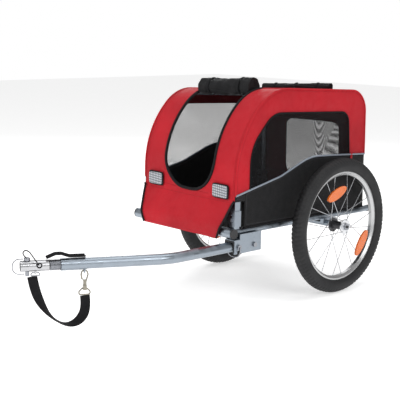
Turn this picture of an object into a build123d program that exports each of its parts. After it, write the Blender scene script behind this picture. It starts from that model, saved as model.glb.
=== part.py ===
"""Two-wheeled pet trailer for a bicycle: tube chassis, two folding hoops, fabric cabin,
16 inch quick-release wheels and a side-mounted tow arm.  Millimetres, +Z up, front towards -Y."""
from build123d import *
from math import atan2, cos, degrees, pi, radians, sin
import os

os.makedirs("parts", exist_ok=True)

# ---- driving dimensions ----
AXLE_Y = 388.2          # wheel axle behind the origin, which is under the middle of the whole trailer
AXLE_Z = 200.0
TYRE_R = 200.0          # 16 inch tyre
TYRE_SECTION_R = 22.0
RIM_OUTER_R = 160.5
RIM_INNER_R = 150.0
RIM_HALF_WIDTH = 11.0
WHEEL_X = 238.0
SPOKES_PER_SIDE = 10
SPOKE_R = 1.0
FLANGE_R = 22.0
SPOKE_CIRCLE_R = 18.5

RAIL_X = 187.0
RAIL_Z = 222.0
RAIL_R = 9.0
RAIL_REAR_Y = AXLE_Y + 197
CROSS_Y = AXLE_Y - 402
CROSS_Z = 220.0
CROSS_R = 14.0
CROSS_HALF = 197.0
REAR_CROSS_Y = AXLE_Y + 148

HOOP_X = 183.0
HOOP_R = 8.0
HOOP_INSET = 12.0       # hoop centre line inside the cover's outline
NEST = 22.0             # how much smaller the right hoop is than the left one
PIVOT_Z = 256.0
PIVOT_LIFT = 18.0       # the right hoop's pivots are this much higher, so that it folds on top
LOCK_UP = 14.0          # lock pin above the pivot
FOOT = 20.0             # square foot of a hoop leg
FOOT_TOP = 305.0

COVER_X = 195.0         # inner face of the side walls
COVER_T = 2.5
FRONT_Y = AXLE_Y - 398
FRONT_FOOT_Y = AXLE_Y - 419.3
REAR_Y = AXLE_Y + 163
ROOF_FRONT_Z = 607.0
ROOF_REAR_Z = 588.0
SKIRT_Z = 233.0
OPENING_HALF = 106.0

ARM_X = 187.0
ARM_Z = 183.0
ARM_R = 14.0
ARM_WALL = 1.6
ARM_PIVOT_Y = AXLE_Y - 327
ARM_BEND_Y = AXLE_Y - 620
TIP = Vector(13, AXLE_Y - 965, ARM_Z)
BEND = Vector(ARM_X, ARM_BEND_Y, ARM_Z)
ALONG = (TIP - BEND).normalized()                 # direction of the arm's front run
ACROSS = Vector(-ALONG.Y, ALONG.X, 0)             # level, square to it
ARM_END = 290.0         # distances from the bend along the front run
SLEEVE_START = 218.0
FLEX_START = 282.0
FLEX_END = 311.0
MOUTH = 381.0
HOOK_X = 222.0
PIN_AT = 364.0


def finish(part, name):
    """Labels a finished piece and writes its STEP file."""
    part.label = name
    export_step(part, f"parts/{name}.step")
    return part


def run_at(distance, height=0.0, side=0.0):
    """Point on the arm's front run: distance from the bend, height above the tube, side offset."""
    return BEND + ALONG * distance + Vector(0, 0, height) + ACROSS * side


def upright_plane(distance=0.0, side=0.0):
    """Vertical plane that holds the front run: x along the run, y up, normal across."""
    return Plane(origin=run_at(distance, 0, side), x_dir=ALONG, z_dir=ALONG.cross(Vector(0, 0, 1)))


def tube_along(distance, length, outer, inner):
    """Round tube on the arm's front run."""
    with BuildPart() as tube:
        with BuildSketch(Plane(origin=run_at(distance), x_dir=ACROSS, z_dir=ALONG)):
            Circle(outer)
            if inner > 0:
                Circle(inner, mode=Mode.SUBTRACT)
        extrude(amount=length)
    return tube.part


def wire_along(points, radius, wire_r, close=False):
    """Round wire bent along a filleted route."""
    with BuildPart() as wire:
        with BuildLine() as route:
            FilletPolyline(*points, radius=radius, close=close)
        start = route.line @ 0
        with BuildSketch(Plane(origin=start, z_dir=route.line % 0)):
            Circle(wire_r)
        sweep()
    return wire.part


# ---- outline of the cabin, seen from the side ----
def outline_points(inset, nest):
    """Corners of the cabin's side outline (Y, Z), front foot first, rear foot last."""
    d = inset + nest
    slope = (ROOF_REAR_Z - ROOF_FRONT_Z) / (AXLE_Y + 145 - (AXLE_Y - 262))
    front = FRONT_Y + d
    shoulder_z = 474 - 0.42 * d
    reach = (ROOF_FRONT_Z - d - shoulder_z)
    roof_front = (front + reach, ROOF_FRONT_Z - d)
    rear_top_y = AXLE_Y + 152 - d
    roof_rear = (rear_top_y, roof_front[1] + slope * (rear_top_y - roof_front[0]))
    return [
        (FRONT_FOOT_Y + inset, 203),
        (FRONT_FOOT_Y + inset, 238),
        (front, 308),
        (front, shoulder_z),
        roof_front,
        roof_rear,
        (REAR_Y - d, SKIRT_Z),
    ]


def outline_radii(inset):
    """Corner radii that belong to outline_points, for the inset and nest added up."""
    return [45, 60, 275 - inset, 155 - inset, 68 - inset]


def outline_face(inset, nest):
    """Closed outline as a flat face, with Y and Z as the sketch's x and y."""
    points = outline_points(inset, nest)
    with BuildSketch() as outline_sketch:
        with BuildLine():
            FilletPolyline(*points, radius=outline_radii(inset + nest))
            Line(points[-1], points[0])
        make_face()
    return outline_sketch.sketch


# ---- chassis tubes ----
for side, name in ((1, "left"), (-1, "right")):
    with BuildPart() as rail:
        with BuildSketch(Plane(origin=(side * RAIL_X, CROSS_Y, RAIL_Z), z_dir=(0, 1, 0))):
            Circle(RAIL_R)
            Circle(RAIL_R - 1.5, mode=Mode.SUBTRACT)
        extrude(amount=RAIL_REAR_Y - CROSS_Y)
        with BuildSketch(Plane(origin=(0, CROSS_Y, CROSS_Z), z_dir=(1, 0, 0))):
            Circle(CROSS_R)
        extrude(amount=CROSS_HALF, both=True, mode=Mode.SUBTRACT)
    finish(rail.part, f"{name}_side_rail")

with BuildPart() as front_cross_tube:
    with BuildSketch(Plane(origin=(0, CROSS_Y, CROSS_Z), z_dir=(1, 0, 0))):
        Circle(CROSS_R)
        Circle(CROSS_R - 1.5, mode=Mode.SUBTRACT)
    extrude(amount=CROSS_HALF, both=True)
finish(front_cross_tube.part, "front_cross_tube")

with BuildPart() as rear_cross_tube:
    with BuildSketch(Plane(origin=(0, REAR_CROSS_Y, RAIL_Z), z_dir=(1, 0, 0))):
        Circle(RAIL_R - 0.5)
        Circle(RAIL_R - 2, mode=Mode.SUBTRACT)
    extrude(amount=RAIL_X, both=True)
    with BuildSketch(Plane(origin=(0, CROSS_Y, RAIL_Z), x_dir=(1, 0, 0), z_dir=(0, 1, 0))):
        with Locations((RAIL_X, 0), (-RAIL_X, 0)):
            Circle(RAIL_R)
    extrude(amount=RAIL_REAR_Y - CROSS_Y, mode=Mode.SUBTRACT)
finish(rear_cross_tube.part, "rear_cross_tube")

AXLE_R = 6.0
AXLE_BORE_R = 6.05
SOCKET_END_X = 205.0
with BuildPart() as axle_tube:
    with BuildSketch(Plane(origin=(0, AXLE_Y, AXLE_Z), z_dir=(1, 0, 0))):
        Circle(RAIL_R)
    extrude(amount=SOCKET_END_X, both=True)
    with Locations((RAIL_X, AXLE_Y, AXLE_Z + 8), (-RAIL_X, AXLE_Y, AXLE_Z + 8)):
        Box(12, 34, 16)
    with BuildSketch(Plane(origin=(0, AXLE_Y - 40, RAIL_Z), x_dir=(1, 0, 0), z_dir=(0, 1, 0))):
        with Locations((RAIL_X, 0), (-RAIL_X, 0)):
            Circle(RAIL_R)
    extrude(amount=80, mode=Mode.SUBTRACT)
    with BuildSketch(Plane(origin=(0, AXLE_Y, AXLE_Z), z_dir=(1, 0, 0))):
        Circle(AXLE_BORE_R)
    extrude(amount=SOCKET_END_X, both=True, mode=Mode.SUBTRACT)
finish(axle_tube.part, "axle_tube")

with BuildPart() as frame_end_caps:
    for side in (1, -1):
        with BuildSketch(Plane(origin=(side * CROSS_HALF, CROSS_Y, CROSS_Z), z_dir=(side, 0, 0))):
            Circle(CROSS_R - 0.3)
        extrude(amount=4)
        with BuildSketch(Plane(origin=(side * RAIL_X, RAIL_REAR_Y, RAIL_Z), z_dir=(0, 1, 0))):
            Circle(RAIL_R + 1)
        extrude(amount=5)
finish(frame_end_caps.part, "frame_end_caps")

# ---- fold brackets at the four corners: channels open towards the middle ----
BRACKET_WALL = 1.6
BRACKET_GAP = FOOT + 0.8
BRACKET_UP = 24.0       # bracket above the pivot
legs = {}
for side, hand in ((1, "left"), (-1, "right")):
    nest = 0 if side == 1 else NEST
    legs[f"front_{hand}"] = (side, FRONT_Y + HOOP_INSET + nest + 2)
    legs[f"rear_{hand}"] = (side, REAR_Y - HOOP_INSET - nest - 9)

for name, (side, leg_y) in legs.items():
    outer_x = HOOP_X + FOOT / 2 + 0.3 + BRACKET_WALL
    pivot_z = PIVOT_Z + (0 if side == 1 else PIVOT_LIFT)
    bracket_top = pivot_z + BRACKET_UP
    with BuildPart() as bracket:
        with Locations((side * (outer_x + 172) / 2, leg_y, (237 + bracket_top) / 2)):
            Box(outer_x - 172, BRACKET_GAP + 2 * BRACKET_WALL, bracket_top - 237)
        with Locations((side * (outer_x - BRACKET_WALL - 30), leg_y, 239 + 50)):
            Box(60, BRACKET_GAP, 100, mode=Mode.SUBTRACT)
        with Locations((side * (HOOP_X + 1), leg_y, 230)):
            Box(14, BRACKET_GAP, 18)
        with BuildSketch(Plane(origin=(side * RAIL_X, leg_y - 40, RAIL_Z), z_dir=(0, 1, 0))):
            Circle(RAIL_R)
        extrude(amount=80, mode=Mode.SUBTRACT)
        with BuildSketch(Plane(origin=(0, CROSS_Y, CROSS_Z), z_dir=(1, 0, 0))):
            Circle(CROSS_R)
        extrude(amount=CROSS_HALF, both=True, mode=Mode.SUBTRACT)
        with BuildSketch(Plane(origin=(0, REAR_CROSS_Y, RAIL_Z), z_dir=(1, 0, 0))):
            Circle(RAIL_R)
        extrude(amount=CROSS_HALF, both=True, mode=Mode.SUBTRACT)
        with BuildSketch(Plane(origin=(side * HOOP_X, leg_y + 20, pivot_z), x_dir=(1, 0, 0),
                               z_dir=(0, -1, 0))):
            Circle(3.05)
            with Locations((0, LOCK_UP)):
                Circle(3)
            with Locations((-8 * side, LOCK_UP - 3)):
                Rectangle(16, 14)
        extrude(amount=40, mode=Mode.SUBTRACT)
    finish(bracket.part, f"{name}_bracket")

# ---- hoops: one bent tube a side, with a square foot on each leg ----
for side, hand in ((1, "left"), (-1, "right")):
    nest = 0 if side == 1 else NEST
    pivot_z = PIVOT_Z + (0 if side == 1 else PIVOT_LIFT)
    corners = outline_points(HOOP_INSET, nest)
    front_y = legs[f"front_{hand}"][1]
    rear_y = legs[f"rear_{hand}"][1]
    route = [(side * HOOP_X, front_y, FOOT_TOP - 6)]
    route += [(side * HOOP_X, y, z) for y, z in corners[3:6]]
    route += [(side * HOOP_X, rear_y, FOOT_TOP - 6)]
    with BuildPart() as hoop:
        with BuildLine() as hoop_line:
            FilletPolyline(*route, radius=outline_radii(HOOP_INSET + nest)[2:])
        with BuildSketch(Plane(origin=hoop_line.line @ 0, z_dir=hoop_line.line % 0)):
            Circle(HOOP_R)
        sweep()
        for leg_y in (front_y, rear_y):
            with Locations((side * HOOP_X, leg_y, (pivot_z + FOOT_TOP) / 2)):
                Box(FOOT, FOOT, FOOT_TOP - pivot_z)
            with BuildSketch(Plane(origin=(side * HOOP_X, leg_y - FOOT / 2, pivot_z), z_dir=(0, 1, 0))):
                Circle(FOOT / 2)
            extrude(amount=FOOT)
            with BuildSketch(Plane(origin=(side * HOOP_X, leg_y - FOOT, pivot_z), z_dir=(0, 1, 0))):
                Circle(3.05)
            extrude(amount=2 * FOOT, mode=Mode.SUBTRACT)
            with BuildSketch(Plane(origin=(side * HOOP_X, leg_y - FOOT, pivot_z + LOCK_UP), z_dir=(0, 1, 0))):
                Circle(2.5)
            extrude(amount=2 * FOOT, mode=Mode.SUBTRACT)
    finish(hoop.part, f"{hand}_hoop")
    with BuildPart() as lock_pins:
        for leg_y in (front_y, rear_y):
            with BuildSketch(Plane(origin=(side * HOOP_X, leg_y - 16, pivot_z + LOCK_UP), z_dir=(0, 1, 0))):
                Circle(2.5)
            extrude(amount=32)
    finish(lock_pins.part, f"{hand}_lock_pins")

# ---- wheels ----
HUB_HALF = 26.0
FLANGE_T = 3.0
for side, hand in ((1, "left"), (-1, "right")):
    hub_plane = Plane(origin=(side * WHEEL_X, AXLE_Y, AXLE_Z), x_dir=(0, 1, 0), z_dir=(side, 0, 0))
    spin_axis = Axis(hub_plane.origin, hub_plane.z_dir)
    section = Plane(origin=hub_plane.origin, x_dir=(0, 0, 1), z_dir=(0, 1, 0))

    with BuildPart() as tyre:
        with BuildSketch(section):
            with Locations((TYRE_R - TYRE_SECTION_R, 0)):
                Circle(TYRE_SECTION_R)
            with Locations((RIM_OUTER_R - 20, 0)):
                Rectangle(40.4, 60, mode=Mode.SUBTRACT)
        revolve(axis=spin_axis)
    finish(tyre.part, f"{hand}_tyre")

    with BuildPart() as rim:
        with BuildSketch(section):
            with BuildLine():
                Polyline((RIM_INNER_R, -5), (RIM_OUTER_R - 4, -RIM_HALF_WIDTH),
                         (RIM_OUTER_R, -RIM_HALF_WIDTH), (RIM_OUTER_R, RIM_HALF_WIDTH),
                         (RIM_OUTER_R - 4, RIM_HALF_WIDTH), (RIM_INNER_R, 5), close=True)
            make_face()
        revolve(axis=spin_axis)
    finish(rim.part, f"{hand}_rim")

    with BuildPart() as hub:
        with BuildSketch(hub_plane.offset(-HUB_HALF - 4)):
            Circle(12)
        extrude(amount=2 * HUB_HALF + 4)
        for end in (-1, 1):
            with BuildSketch(hub_plane.offset(end * (HUB_HALF - 4) - FLANGE_T / 2)):
                Circle(FLANGE_R)
            extrude(amount=FLANGE_T)
        with BuildSketch(hub_plane.offset(-60)):
            Circle(AXLE_BORE_R)
        extrude(amount=120, mode=Mode.SUBTRACT)
    finish(hub.part, f"{hand}_hub")

    with BuildPart() as spokes:
        for end in (-1, 1):
            for number in range(SPOKES_PER_SIDE):
                turn = 360 / SPOKES_PER_SIDE * (number + (0.25 if end == 1 else -0.25))
                lean = 40 if number % 2 else -40
                stagger = 3.2 if number % 2 else -3.2
                inner_turn = radians(turn + lean)
                outer_turn = radians(turn)
                inner = hub_plane.from_local_coords(Vector(
                    SPOKE_CIRCLE_R * cos(inner_turn), SPOKE_CIRCLE_R * sin(inner_turn),
                    end * (HUB_HALF - 4) + stagger))
                outer = hub_plane.from_local_coords(Vector(
                    (RIM_INNER_R + 1) * cos(outer_turn), (RIM_INNER_R + 1) * sin(outer_turn), end * 3))
                with BuildSketch(Plane(origin=inner, z_dir=outer - inner)):
                    Circle(SPOKE_R)
                extrude(amount=(outer - inner).length)
    finish(spokes.part, f"{hand}_spokes")

    with BuildPart() as wheel_reflectors:
        for turn in (111, -35):
            clip = hub_plane.offset(15.5)
            with BuildSketch(clip):
                with PolarLocations(107, 1, start_angle=turn):
                    Ellipse(15, 43)
            extrude(amount=5)
    finish(wheel_reflectors.part, f"{hand}_wheel_reflectors")

    with BuildPart() as axle:
        with BuildSketch(hub_plane.offset(-88)):
            Circle(AXLE_R)
        extrude(amount=88 + HUB_HALF - 2)
        with BuildSketch(hub_plane.offset(HUB_HALF + 0.3)):
            Circle(10)
        extrude(amount=4)
        with BuildSketch(hub_plane.offset(HUB_HALF - 10)):
            Circle(AXLE_R)
        extrude(amount=11)
        with BuildSketch(hub_plane.offset(HUB_HALF - 8)):
            Circle(4.05)
        extrude(amount=20, mode=Mode.SUBTRACT)
    finish(axle.part, f"{hand}_axle")

    with BuildPart() as release_button:
        with BuildSketch(hub_plane.offset(HUB_HALF - 3)):
            Circle(4)
        extrude(amount=11)
        fillet(release_button.edges().group_by(Axis.X)[-1 if side == 1 else 0], radius=1.5)
    finish(release_button.part, f"{hand}_release_button")

# ---- tow bracket under the left rail ----
LINER_T = 1.5
BRACKET_HALF = ARM_R + 0.4 + LINER_T + 0.2
TOW_WALL = 2.0
TOW_FRONT_Y = AXLE_Y - 405
TOW_REAR_Y = AXLE_Y - 300
TOW_TOP = 203.5
TOW_BOTTOM = 165.0
LOCK_PIN_Y = AXLE_Y - 388
LOCK_PIN_R = 4.0
tow_length = TOW_REAR_Y - TOW_FRONT_Y
tow_mid_y = (TOW_FRONT_Y + TOW_REAR_Y) / 2
with BuildPart() as tow_bracket:
    with Locations((ARM_X, tow_mid_y, (TOW_TOP + TOW_BOTTOM) / 2)):
        Box(2 * (BRACKET_HALF + TOW_WALL), tow_length, TOW_TOP - TOW_BOTTOM)
    with Locations((ARM_X, tow_mid_y, (TOW_TOP - TOW_WALL + TOW_BOTTOM - 20) / 2)):
        Box(2 * BRACKET_HALF, tow_length, TOW_TOP - TOW_WALL - TOW_BOTTOM + 20, mode=Mode.SUBTRACT)
    with Locations((ARM_X, AXLE_Y - 342, 208)):
        Box(14, 84, 12)
    with Locations((ARM_X + BRACKET_HALF + TOW_WALL / 2, AXLE_Y - 342, 208)):
        Box(TOW_WALL, 84, 20)
    with BuildSketch(Plane(origin=(RAIL_X, CROSS_Y, RAIL_Z), z_dir=(0, 1, 0))):
        Circle(RAIL_R)
    extrude(amount=200, mode=Mode.SUBTRACT)
    with BuildSketch(Plane(origin=(ARM_X - 40, 0, 0), x_dir=(0, 1, 0), z_dir=(1, 0, 0))):
        with Locations((LOCK_PIN_Y, ARM_Z)):
            Circle(LOCK_PIN_R + 0.4)
        with BuildLine():
            Polyline((LOCK_PIN_Y - 4.4, ARM_Z), (LOCK_PIN_Y - 4.4, 150), (LOCK_PIN_Y + 14, 150),
                     (LOCK_PIN_Y + 10, ARM_Z - 14), (LOCK_PIN_Y + 4.4, ARM_Z), close=True)
        make_face()
        with Locations((ARM_PIVOT_Y, ARM_Z)):
            Circle(4.0)
    extrude(amount=80, mode=Mode.SUBTRACT)
finish(tow_bracket.part, "tow_bracket")

with BuildPart() as tow_bracket_liner:
    with Locations((ARM_X, AXLE_Y - 376, (TOW_TOP - TOW_WALL - 0.3 + 168) / 2)):
        Box(2 * (BRACKET_HALF - 0.2), 64, TOW_TOP - TOW_WALL - 0.3 - 168)
    with Locations((ARM_X, AXLE_Y - 376, 160)):
        Box(2 * (ARM_R + 0.4), 64, 2 * (ARM_R + 0.5 + ARM_Z - 160), mode=Mode.SUBTRACT)
    with BuildSketch(Plane(origin=(ARM_X - 40, 0, 0), x_dir=(0, 1, 0), z_dir=(1, 0, 0))):
        with Locations((LOCK_PIN_Y, ARM_Z)):
            Circle(LOCK_PIN_R + 0.6)
        with BuildLine():
            Polyline((LOCK_PIN_Y - 4.6, ARM_Z), (LOCK_PIN_Y - 4.6, 150), (LOCK_PIN_Y + 14.2, 150),
                     (LOCK_PIN_Y + 10.2, ARM_Z - 14), (LOCK_PIN_Y + 4.6, ARM_Z), close=True)
        make_face()
    extrude(amount=80, mode=Mode.SUBTRACT)
finish(tow_bracket_liner.part, "tow_bracket_liner")

# pivot bolts of the hoops and of the tow arm
with BuildPart() as frame_bolts:
    for side, leg_y in legs.values():
        half = BRACKET_GAP / 2 + BRACKET_WALL
        pivot_z = PIVOT_Z + (0 if side == 1 else PIVOT_LIFT)
        with BuildSketch(Plane(origin=(side * HOOP_X, leg_y - half, pivot_z), z_dir=(0, 1, 0))):
            Circle(3)
        extrude(amount=2 * half)
        for end in (-1, 1):
            with BuildSketch(Plane(origin=(side * HOOP_X, leg_y + end * half, pivot_z), z_dir=(0, end, 0))):
                RegularPolygon(5.2, 6)
            extrude(amount=4)
    bolt_half = BRACKET_HALF + TOW_WALL
    with BuildSketch(Plane(origin=(ARM_X - bolt_half, ARM_PIVOT_Y, ARM_Z), z_dir=(1, 0, 0))):
        Circle(4)
    extrude(amount=2 * bolt_half)
    for end in (-1, 1):
        with BuildSketch(Plane(origin=(ARM_X + end * bolt_half, ARM_PIVOT_Y, ARM_Z), z_dir=(end, 0, 0))):
            RegularPolygon(7.5, 6)
        extrude(amount=5)
finish(frame_bolts.part, "frame_bolts")

# ---- tow arm ----
with BuildPart() as tow_arm:
    with BuildLine() as arm_line:
        FilletPolyline((ARM_X, ARM_PIVOT_Y + 10, ARM_Z), BEND, run_at(ARM_END - 10), radius=150)
    with BuildSketch(Plane(origin=arm_line.line @ 0, z_dir=arm_line.line % 0)):
        Circle(ARM_R)
        Circle(ARM_R - ARM_WALL, mode=Mode.SUBTRACT)
    sweep()
    with BuildSketch(Plane(origin=(ARM_X - 40, ARM_PIVOT_Y, ARM_Z), z_dir=(1, 0, 0))):
        Circle(4.05)
    extrude(amount=80, mode=Mode.SUBTRACT)
    with BuildSketch(Plane(origin=(ARM_X - 40, LOCK_PIN_Y, ARM_Z), z_dir=(1, 0, 0))):
        Circle(LOCK_PIN_R)
    extrude(amount=80, mode=Mode.SUBTRACT)
finish(tow_arm.part, "tow_arm")

PIN_HEAD_X = ARM_X + BRACKET_HALF + TOW_WALL + 0.6
PIN_TIP_X = ARM_X - BRACKET_HALF - TOW_WALL - 6
with BuildPart() as lock_pin:
    with BuildSketch(Plane(origin=(PIN_TIP_X, LOCK_PIN_Y, ARM_Z), z_dir=(1, 0, 0))):
        Circle(LOCK_PIN_R)
    extrude(amount=PIN_HEAD_X - PIN_TIP_X)
    with BuildSketch(Plane(origin=(PIN_HEAD_X, LOCK_PIN_Y, ARM_Z), z_dir=(1, 0, 0))):
        Circle(7)
    extrude(amount=4)
finish(lock_pin.part, "lock_pin")

BAIL_R = 1.5
BAIL_DROP = 29.0
bail_x = PIN_HEAD_X + 4 + BAIL_R + 0.2
bail_far_x = PIN_TIP_X - BAIL_R - 0.4
lock_bail = wire_along(
    [(bail_x, LOCK_PIN_Y, ARM_Z + 0.5), (bail_x, LOCK_PIN_Y, ARM_Z - BAIL_DROP),
     (bail_far_x, LOCK_PIN_Y, ARM_Z - BAIL_DROP), (bail_far_x, LOCK_PIN_Y, ARM_Z + 3)], 20, BAIL_R)
finish(lock_bail, "lock_bail")

with BuildPart() as arm_sleeve:
    arm_plane = Plane(origin=run_at(SLEEVE_START), x_dir=ACROSS, z_dir=ALONG)
    with BuildSketch(arm_plane):
        Circle(ARM_R + 1.6)
        Circle(ARM_R + 0.02, mode=Mode.SUBTRACT)
    extrude(amount=FLEX_START - SLEEVE_START - 0.2)
    with BuildSketch(Plane(origin=run_at(HOOK_X - 1.5, -ARM_R - 4.5), x_dir=ACROSS, z_dir=ALONG)):
        Circle(6)
        Circle(3.6, mode=Mode.SUBTRACT)
    extrude(amount=3)
    with BuildSketch(arm_plane):
        Circle(ARM_R + 0.02)
    extrude(amount=40, mode=Mode.SUBTRACT)
finish(arm_sleeve.part, "arm_sleeve")

# close-wound spring: the outer shape of its turns, hollow inside
SPRING_WIRE = 3.6
turns = int((FLEX_END - FLEX_START - 0.4) / SPRING_WIRE)
with BuildPart() as flex_spring:
    with BuildSketch(upright_plane(FLEX_START + 0.2)):
        for turn in range(turns):
            with Locations((SPRING_WIRE * (turn + 0.5), ARM_R - SPRING_WIRE / 2)):
                Circle(SPRING_WIRE / 2 + 0.15)
    revolve(axis=Axis(run_at(FLEX_START), ALONG))
finish(flex_spring.part, "flex_spring")

with BuildPart() as coupler:
    with BuildSketch(Plane(origin=run_at(FLEX_END), x_dir=ACROSS, z_dir=ALONG)):
        Circle(ARM_R)
    extrude(amount=MOUTH - FLEX_END)
    with BuildSketch(Plane(origin=run_at(FLEX_END + 12), x_dir=ACROSS, z_dir=ALONG)):
        Circle(ARM_R - 1.8)
    extrude(amount=MOUTH, mode=Mode.SUBTRACT)
    with BuildSketch(Plane(origin=run_at(PIN_AT), z_dir=(0, 0, 1))):
        Circle(5)
    extrude(amount=30, both=True, mode=Mode.SUBTRACT)
    with BuildSketch(Plane(origin=run_at(336, 4, 10), x_dir=ALONG, z_dir=ACROSS)):
        Circle(4)
    extrude(amount=ARM_R - 7.5)
    with Locations(Plane(origin=run_at(344, -16.5), x_dir=ALONG, z_dir=(0, 0, 1))):
        Box(5, 7, 8)
    with BuildSketch(Plane(origin=run_at(330, -17.2), x_dir=ACROSS, z_dir=ALONG)):
        Circle(1.9)
    extrude(amount=26, mode=Mode.SUBTRACT)
finish(coupler.part, "coupler")

PIN_LOW = -24.5
with BuildPart() as hitch_pin:
    with BuildSketch(Plane(origin=run_at(PIN_AT, PIN_LOW), z_dir=(0, 0, 1))):
        Circle(4.95)
    extrude(amount=ARM_R + 2 - PIN_LOW)
    with BuildSketch(Plane(origin=run_at(PIN_AT, ARM_R + 0.4), z_dir=(0, 0, 1))):
        Circle(8)
    extrude(amount=7)
    fillet(hitch_pin.edges().group_by(Axis.Z)[-1], radius=2)
finish(hitch_pin.part, "hitch_pin")

HITCH_BAIL_R = 1.3
hitch_bail = wire_along(
    [run_at(PIN_AT + 9.6, 18.5), run_at(400, 18.5), run_at(400, -19.5), run_at(PIN_AT + 5.2 + 1.6, -19.5)],
    17, HITCH_BAIL_R)
finish(hitch_bail, "hitch_bail")

with BuildPart() as strap_ring:
    ring = wire_along([run_at(336, -17.2), run_at(352, -17.2), run_at(357, -25), run_at(331, -25)],
                      2.5, 1.4, close=True)
    add(ring)
finish(strap_ring.part, "strap_ring")

# ---- straps, cords and the snap hook ----
def band(points, radii, thickness, width, plane, name):
    """Flat strap: a filleted route in the given plane, thickened and given its width."""
    with BuildPart() as strap:
        with BuildSketch(plane):
            with BuildLine() as centre:
                FilletPolyline(*points, radius=radii)
            trace(line_width=thickness)
        extrude(amount=width / 2, both=True)
    return finish(strap.part, name)


band([(FLEX_START - 62, 17.0), (FLEX_START - 22, 17.4), (FLEX_START - 2, 24.5), (FLEX_START + 12, 24.5),
      (FLEX_END + 5, 15.6)], [25, 10, 14], 1.4, 18, upright_plane(), "tether_strap")

STRAP_ROUTE = [(352, -26.5), (346, -62), (328, -103), (302, -138), (268, -158), (236, -149),
               (217, -118), (221, -82)]


def arc_radii(points):
    """Largest fitting radius at each corner: 0.45 of the shorter run over the half turn's tangent."""
    radii = []
    for before, corner, after in zip(points, points[1:], points[2:]):
        run_in = Vector(*corner) - Vector(*before)
        run_out = Vector(*after) - Vector(*corner)
        half_turn = radians(run_in.get_angle(run_out)) / 2
        shorter = min(run_in.length, run_out.length)
        radii.append(0.45 * shorter / (sin(half_turn) / cos(half_turn)))
    return radii


strap_radii = arc_radii(STRAP_ROUTE)
print("strap radii", [round(r) for r in strap_radii])
band(STRAP_ROUTE, strap_radii, 2.0, 25, upright_plane(), "safety_strap")

LANYARD_R = 1.5
LANYARD_ROUTE = [run_at(367, 22.4, 4), run_at(376, 31, 4.5), run_at(371, 42, 5), run_at(360, 39, 6),
                 run_at(352, 27, 9), run_at(344, 15, 15.5), run_at(337, 5, 18.8)]
lanyard_radii = arc_radii([(p.X, p.Y, p.Z) for p in LANYARD_ROUTE])
print("lanyard radii", [round(r) for r in lanyard_radii])
finish(wire_along(LANYARD_ROUTE, lanyard_radii, LANYARD_R), "pin_lanyard")

D_RING_R = 1.8
d_ring_points = [run_at(HOOK_X - 14, -80), run_at(HOOK_X + 14, -80), run_at(HOOK_X + 14, -72),
                 run_at(HOOK_X + 6, -64), run_at(HOOK_X - 6, -64), run_at(HOOK_X - 14, -72)]
finish(wire_along(d_ring_points, 4.0, D_RING_R, True),
       "strap_d_ring")

HOOK_WIRE_R = 1.9
with BuildPart() as snap_hook:
    hook_points = [run_at(HOOK_X + 7, -40), run_at(HOOK_X + 8.5, -28), run_at(HOOK_X + 6, -18.6),
                   run_at(HOOK_X - 6, -18.6), run_at(HOOK_X - 9, -29), run_at(HOOK_X - 4, -46)]
    add(wire_along(hook_points, 5.0, HOOK_WIRE_R))
    with BuildSketch(Plane(origin=run_at(HOOK_X - 1, -56), z_dir=(0, 0, 1))):
        Circle(4.4)
    extrude(amount=14)
    with Locations(Plane(origin=run_at(HOOK_X - 0.5, -61.75), x_dir=ALONG, z_dir=(0, 0, 1))):
        Box(9, 12, 12.5)
    with BuildSketch(Plane(origin=run_at(HOOK_X - 10, -64), x_dir=ACROSS, z_dir=ALONG)):
        Circle(D_RING_R + 0.5)
    extrude(amount=20, mode=Mode.SUBTRACT)
finish(snap_hook.part, "snap_hook")

finish(wire_along([run_at(HOOK_X + 4, -42, 5.8), run_at(HOOK_X + 7, -36, 3.6),
                   run_at(HOOK_X + 8, -27, 3.6)], 8.0, 1.2), "snap_gate")

# ---- fabric cabin ----
with BuildSketch() as window:       # wider than high, with a long curve at its front
    with BuildLine():
        FilletPolyline((AXLE_Y - 343, 300), (AXLE_Y - 343, 450), (AXLE_Y - 258, 539), (AXLE_Y + 72, 527),
                       (AXLE_Y + 84, 380), radius=[120, 80, 34])
        Line((AXLE_Y + 84, 380), (AXLE_Y - 343, 300))
    make_face()

with BuildSketch() as skirt:        # black lower part of a side wall, sweeping up towards the rear
    with BuildLine():
        FilletPolyline((AXLE_Y - 440, 310), (AXLE_Y - 395, 323), (AXLE_Y - 220, 361), (AXLE_Y - 95, 408),
                       (AXLE_Y + 200, 394), radius=[20, 150, 200])
        Polyline((AXLE_Y + 200, 394), (AXLE_Y + 200, SKIRT_Z), (AXLE_Y - 362, SKIRT_Z),
                 (AXLE_Y - 362, FOOT_TOP + 1), (AXLE_Y - 440, FOOT_TOP + 1), (AXLE_Y - 440, 310))
    make_face()

for side, hand in ((1, "left"), (-1, "right")):
    nest = 0 if side == 1 else NEST
    wall_plane = Plane(origin=(side * COVER_X, 0, 0), x_dir=(0, 1, 0), z_dir=(1, 0, 0))
    with BuildSketch() as outline:
        add(outline_face(0, nest))
        with Locations((AXLE_Y, SKIRT_Z - 100)):
            Rectangle(1200, 200, mode=Mode.SUBTRACT)
    pieces = {
        f"{hand}_side_cover": outline.sketch - window.sketch - skirt.sketch
                              - Pos(AXLE_Y - 400, 250) * Rectangle(76, 113),
        f"{hand}_window_mesh": window.sketch - skirt.sketch,
        f"{hand}_lower_panel": outline.sketch & skirt.sketch,
    }
    for name, face in pieces.items():
        wall = extrude(wall_plane * face, amount=side * COVER_T)
        finish(wall, name)


def cabin_body(inset, half_width):
    """Solid between the left outline and the smaller right one."""
    with BuildPart() as body:
        for x, nest in ((half_width, 0), (-half_width, NEST)):
            with BuildSketch(Plane(origin=(x, 0, 0), x_dir=(0, 1, 0), z_dir=(1, 0, 0))):
                add(outline_face(inset, nest))
        loft(ruled=True)
    return body.part


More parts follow.
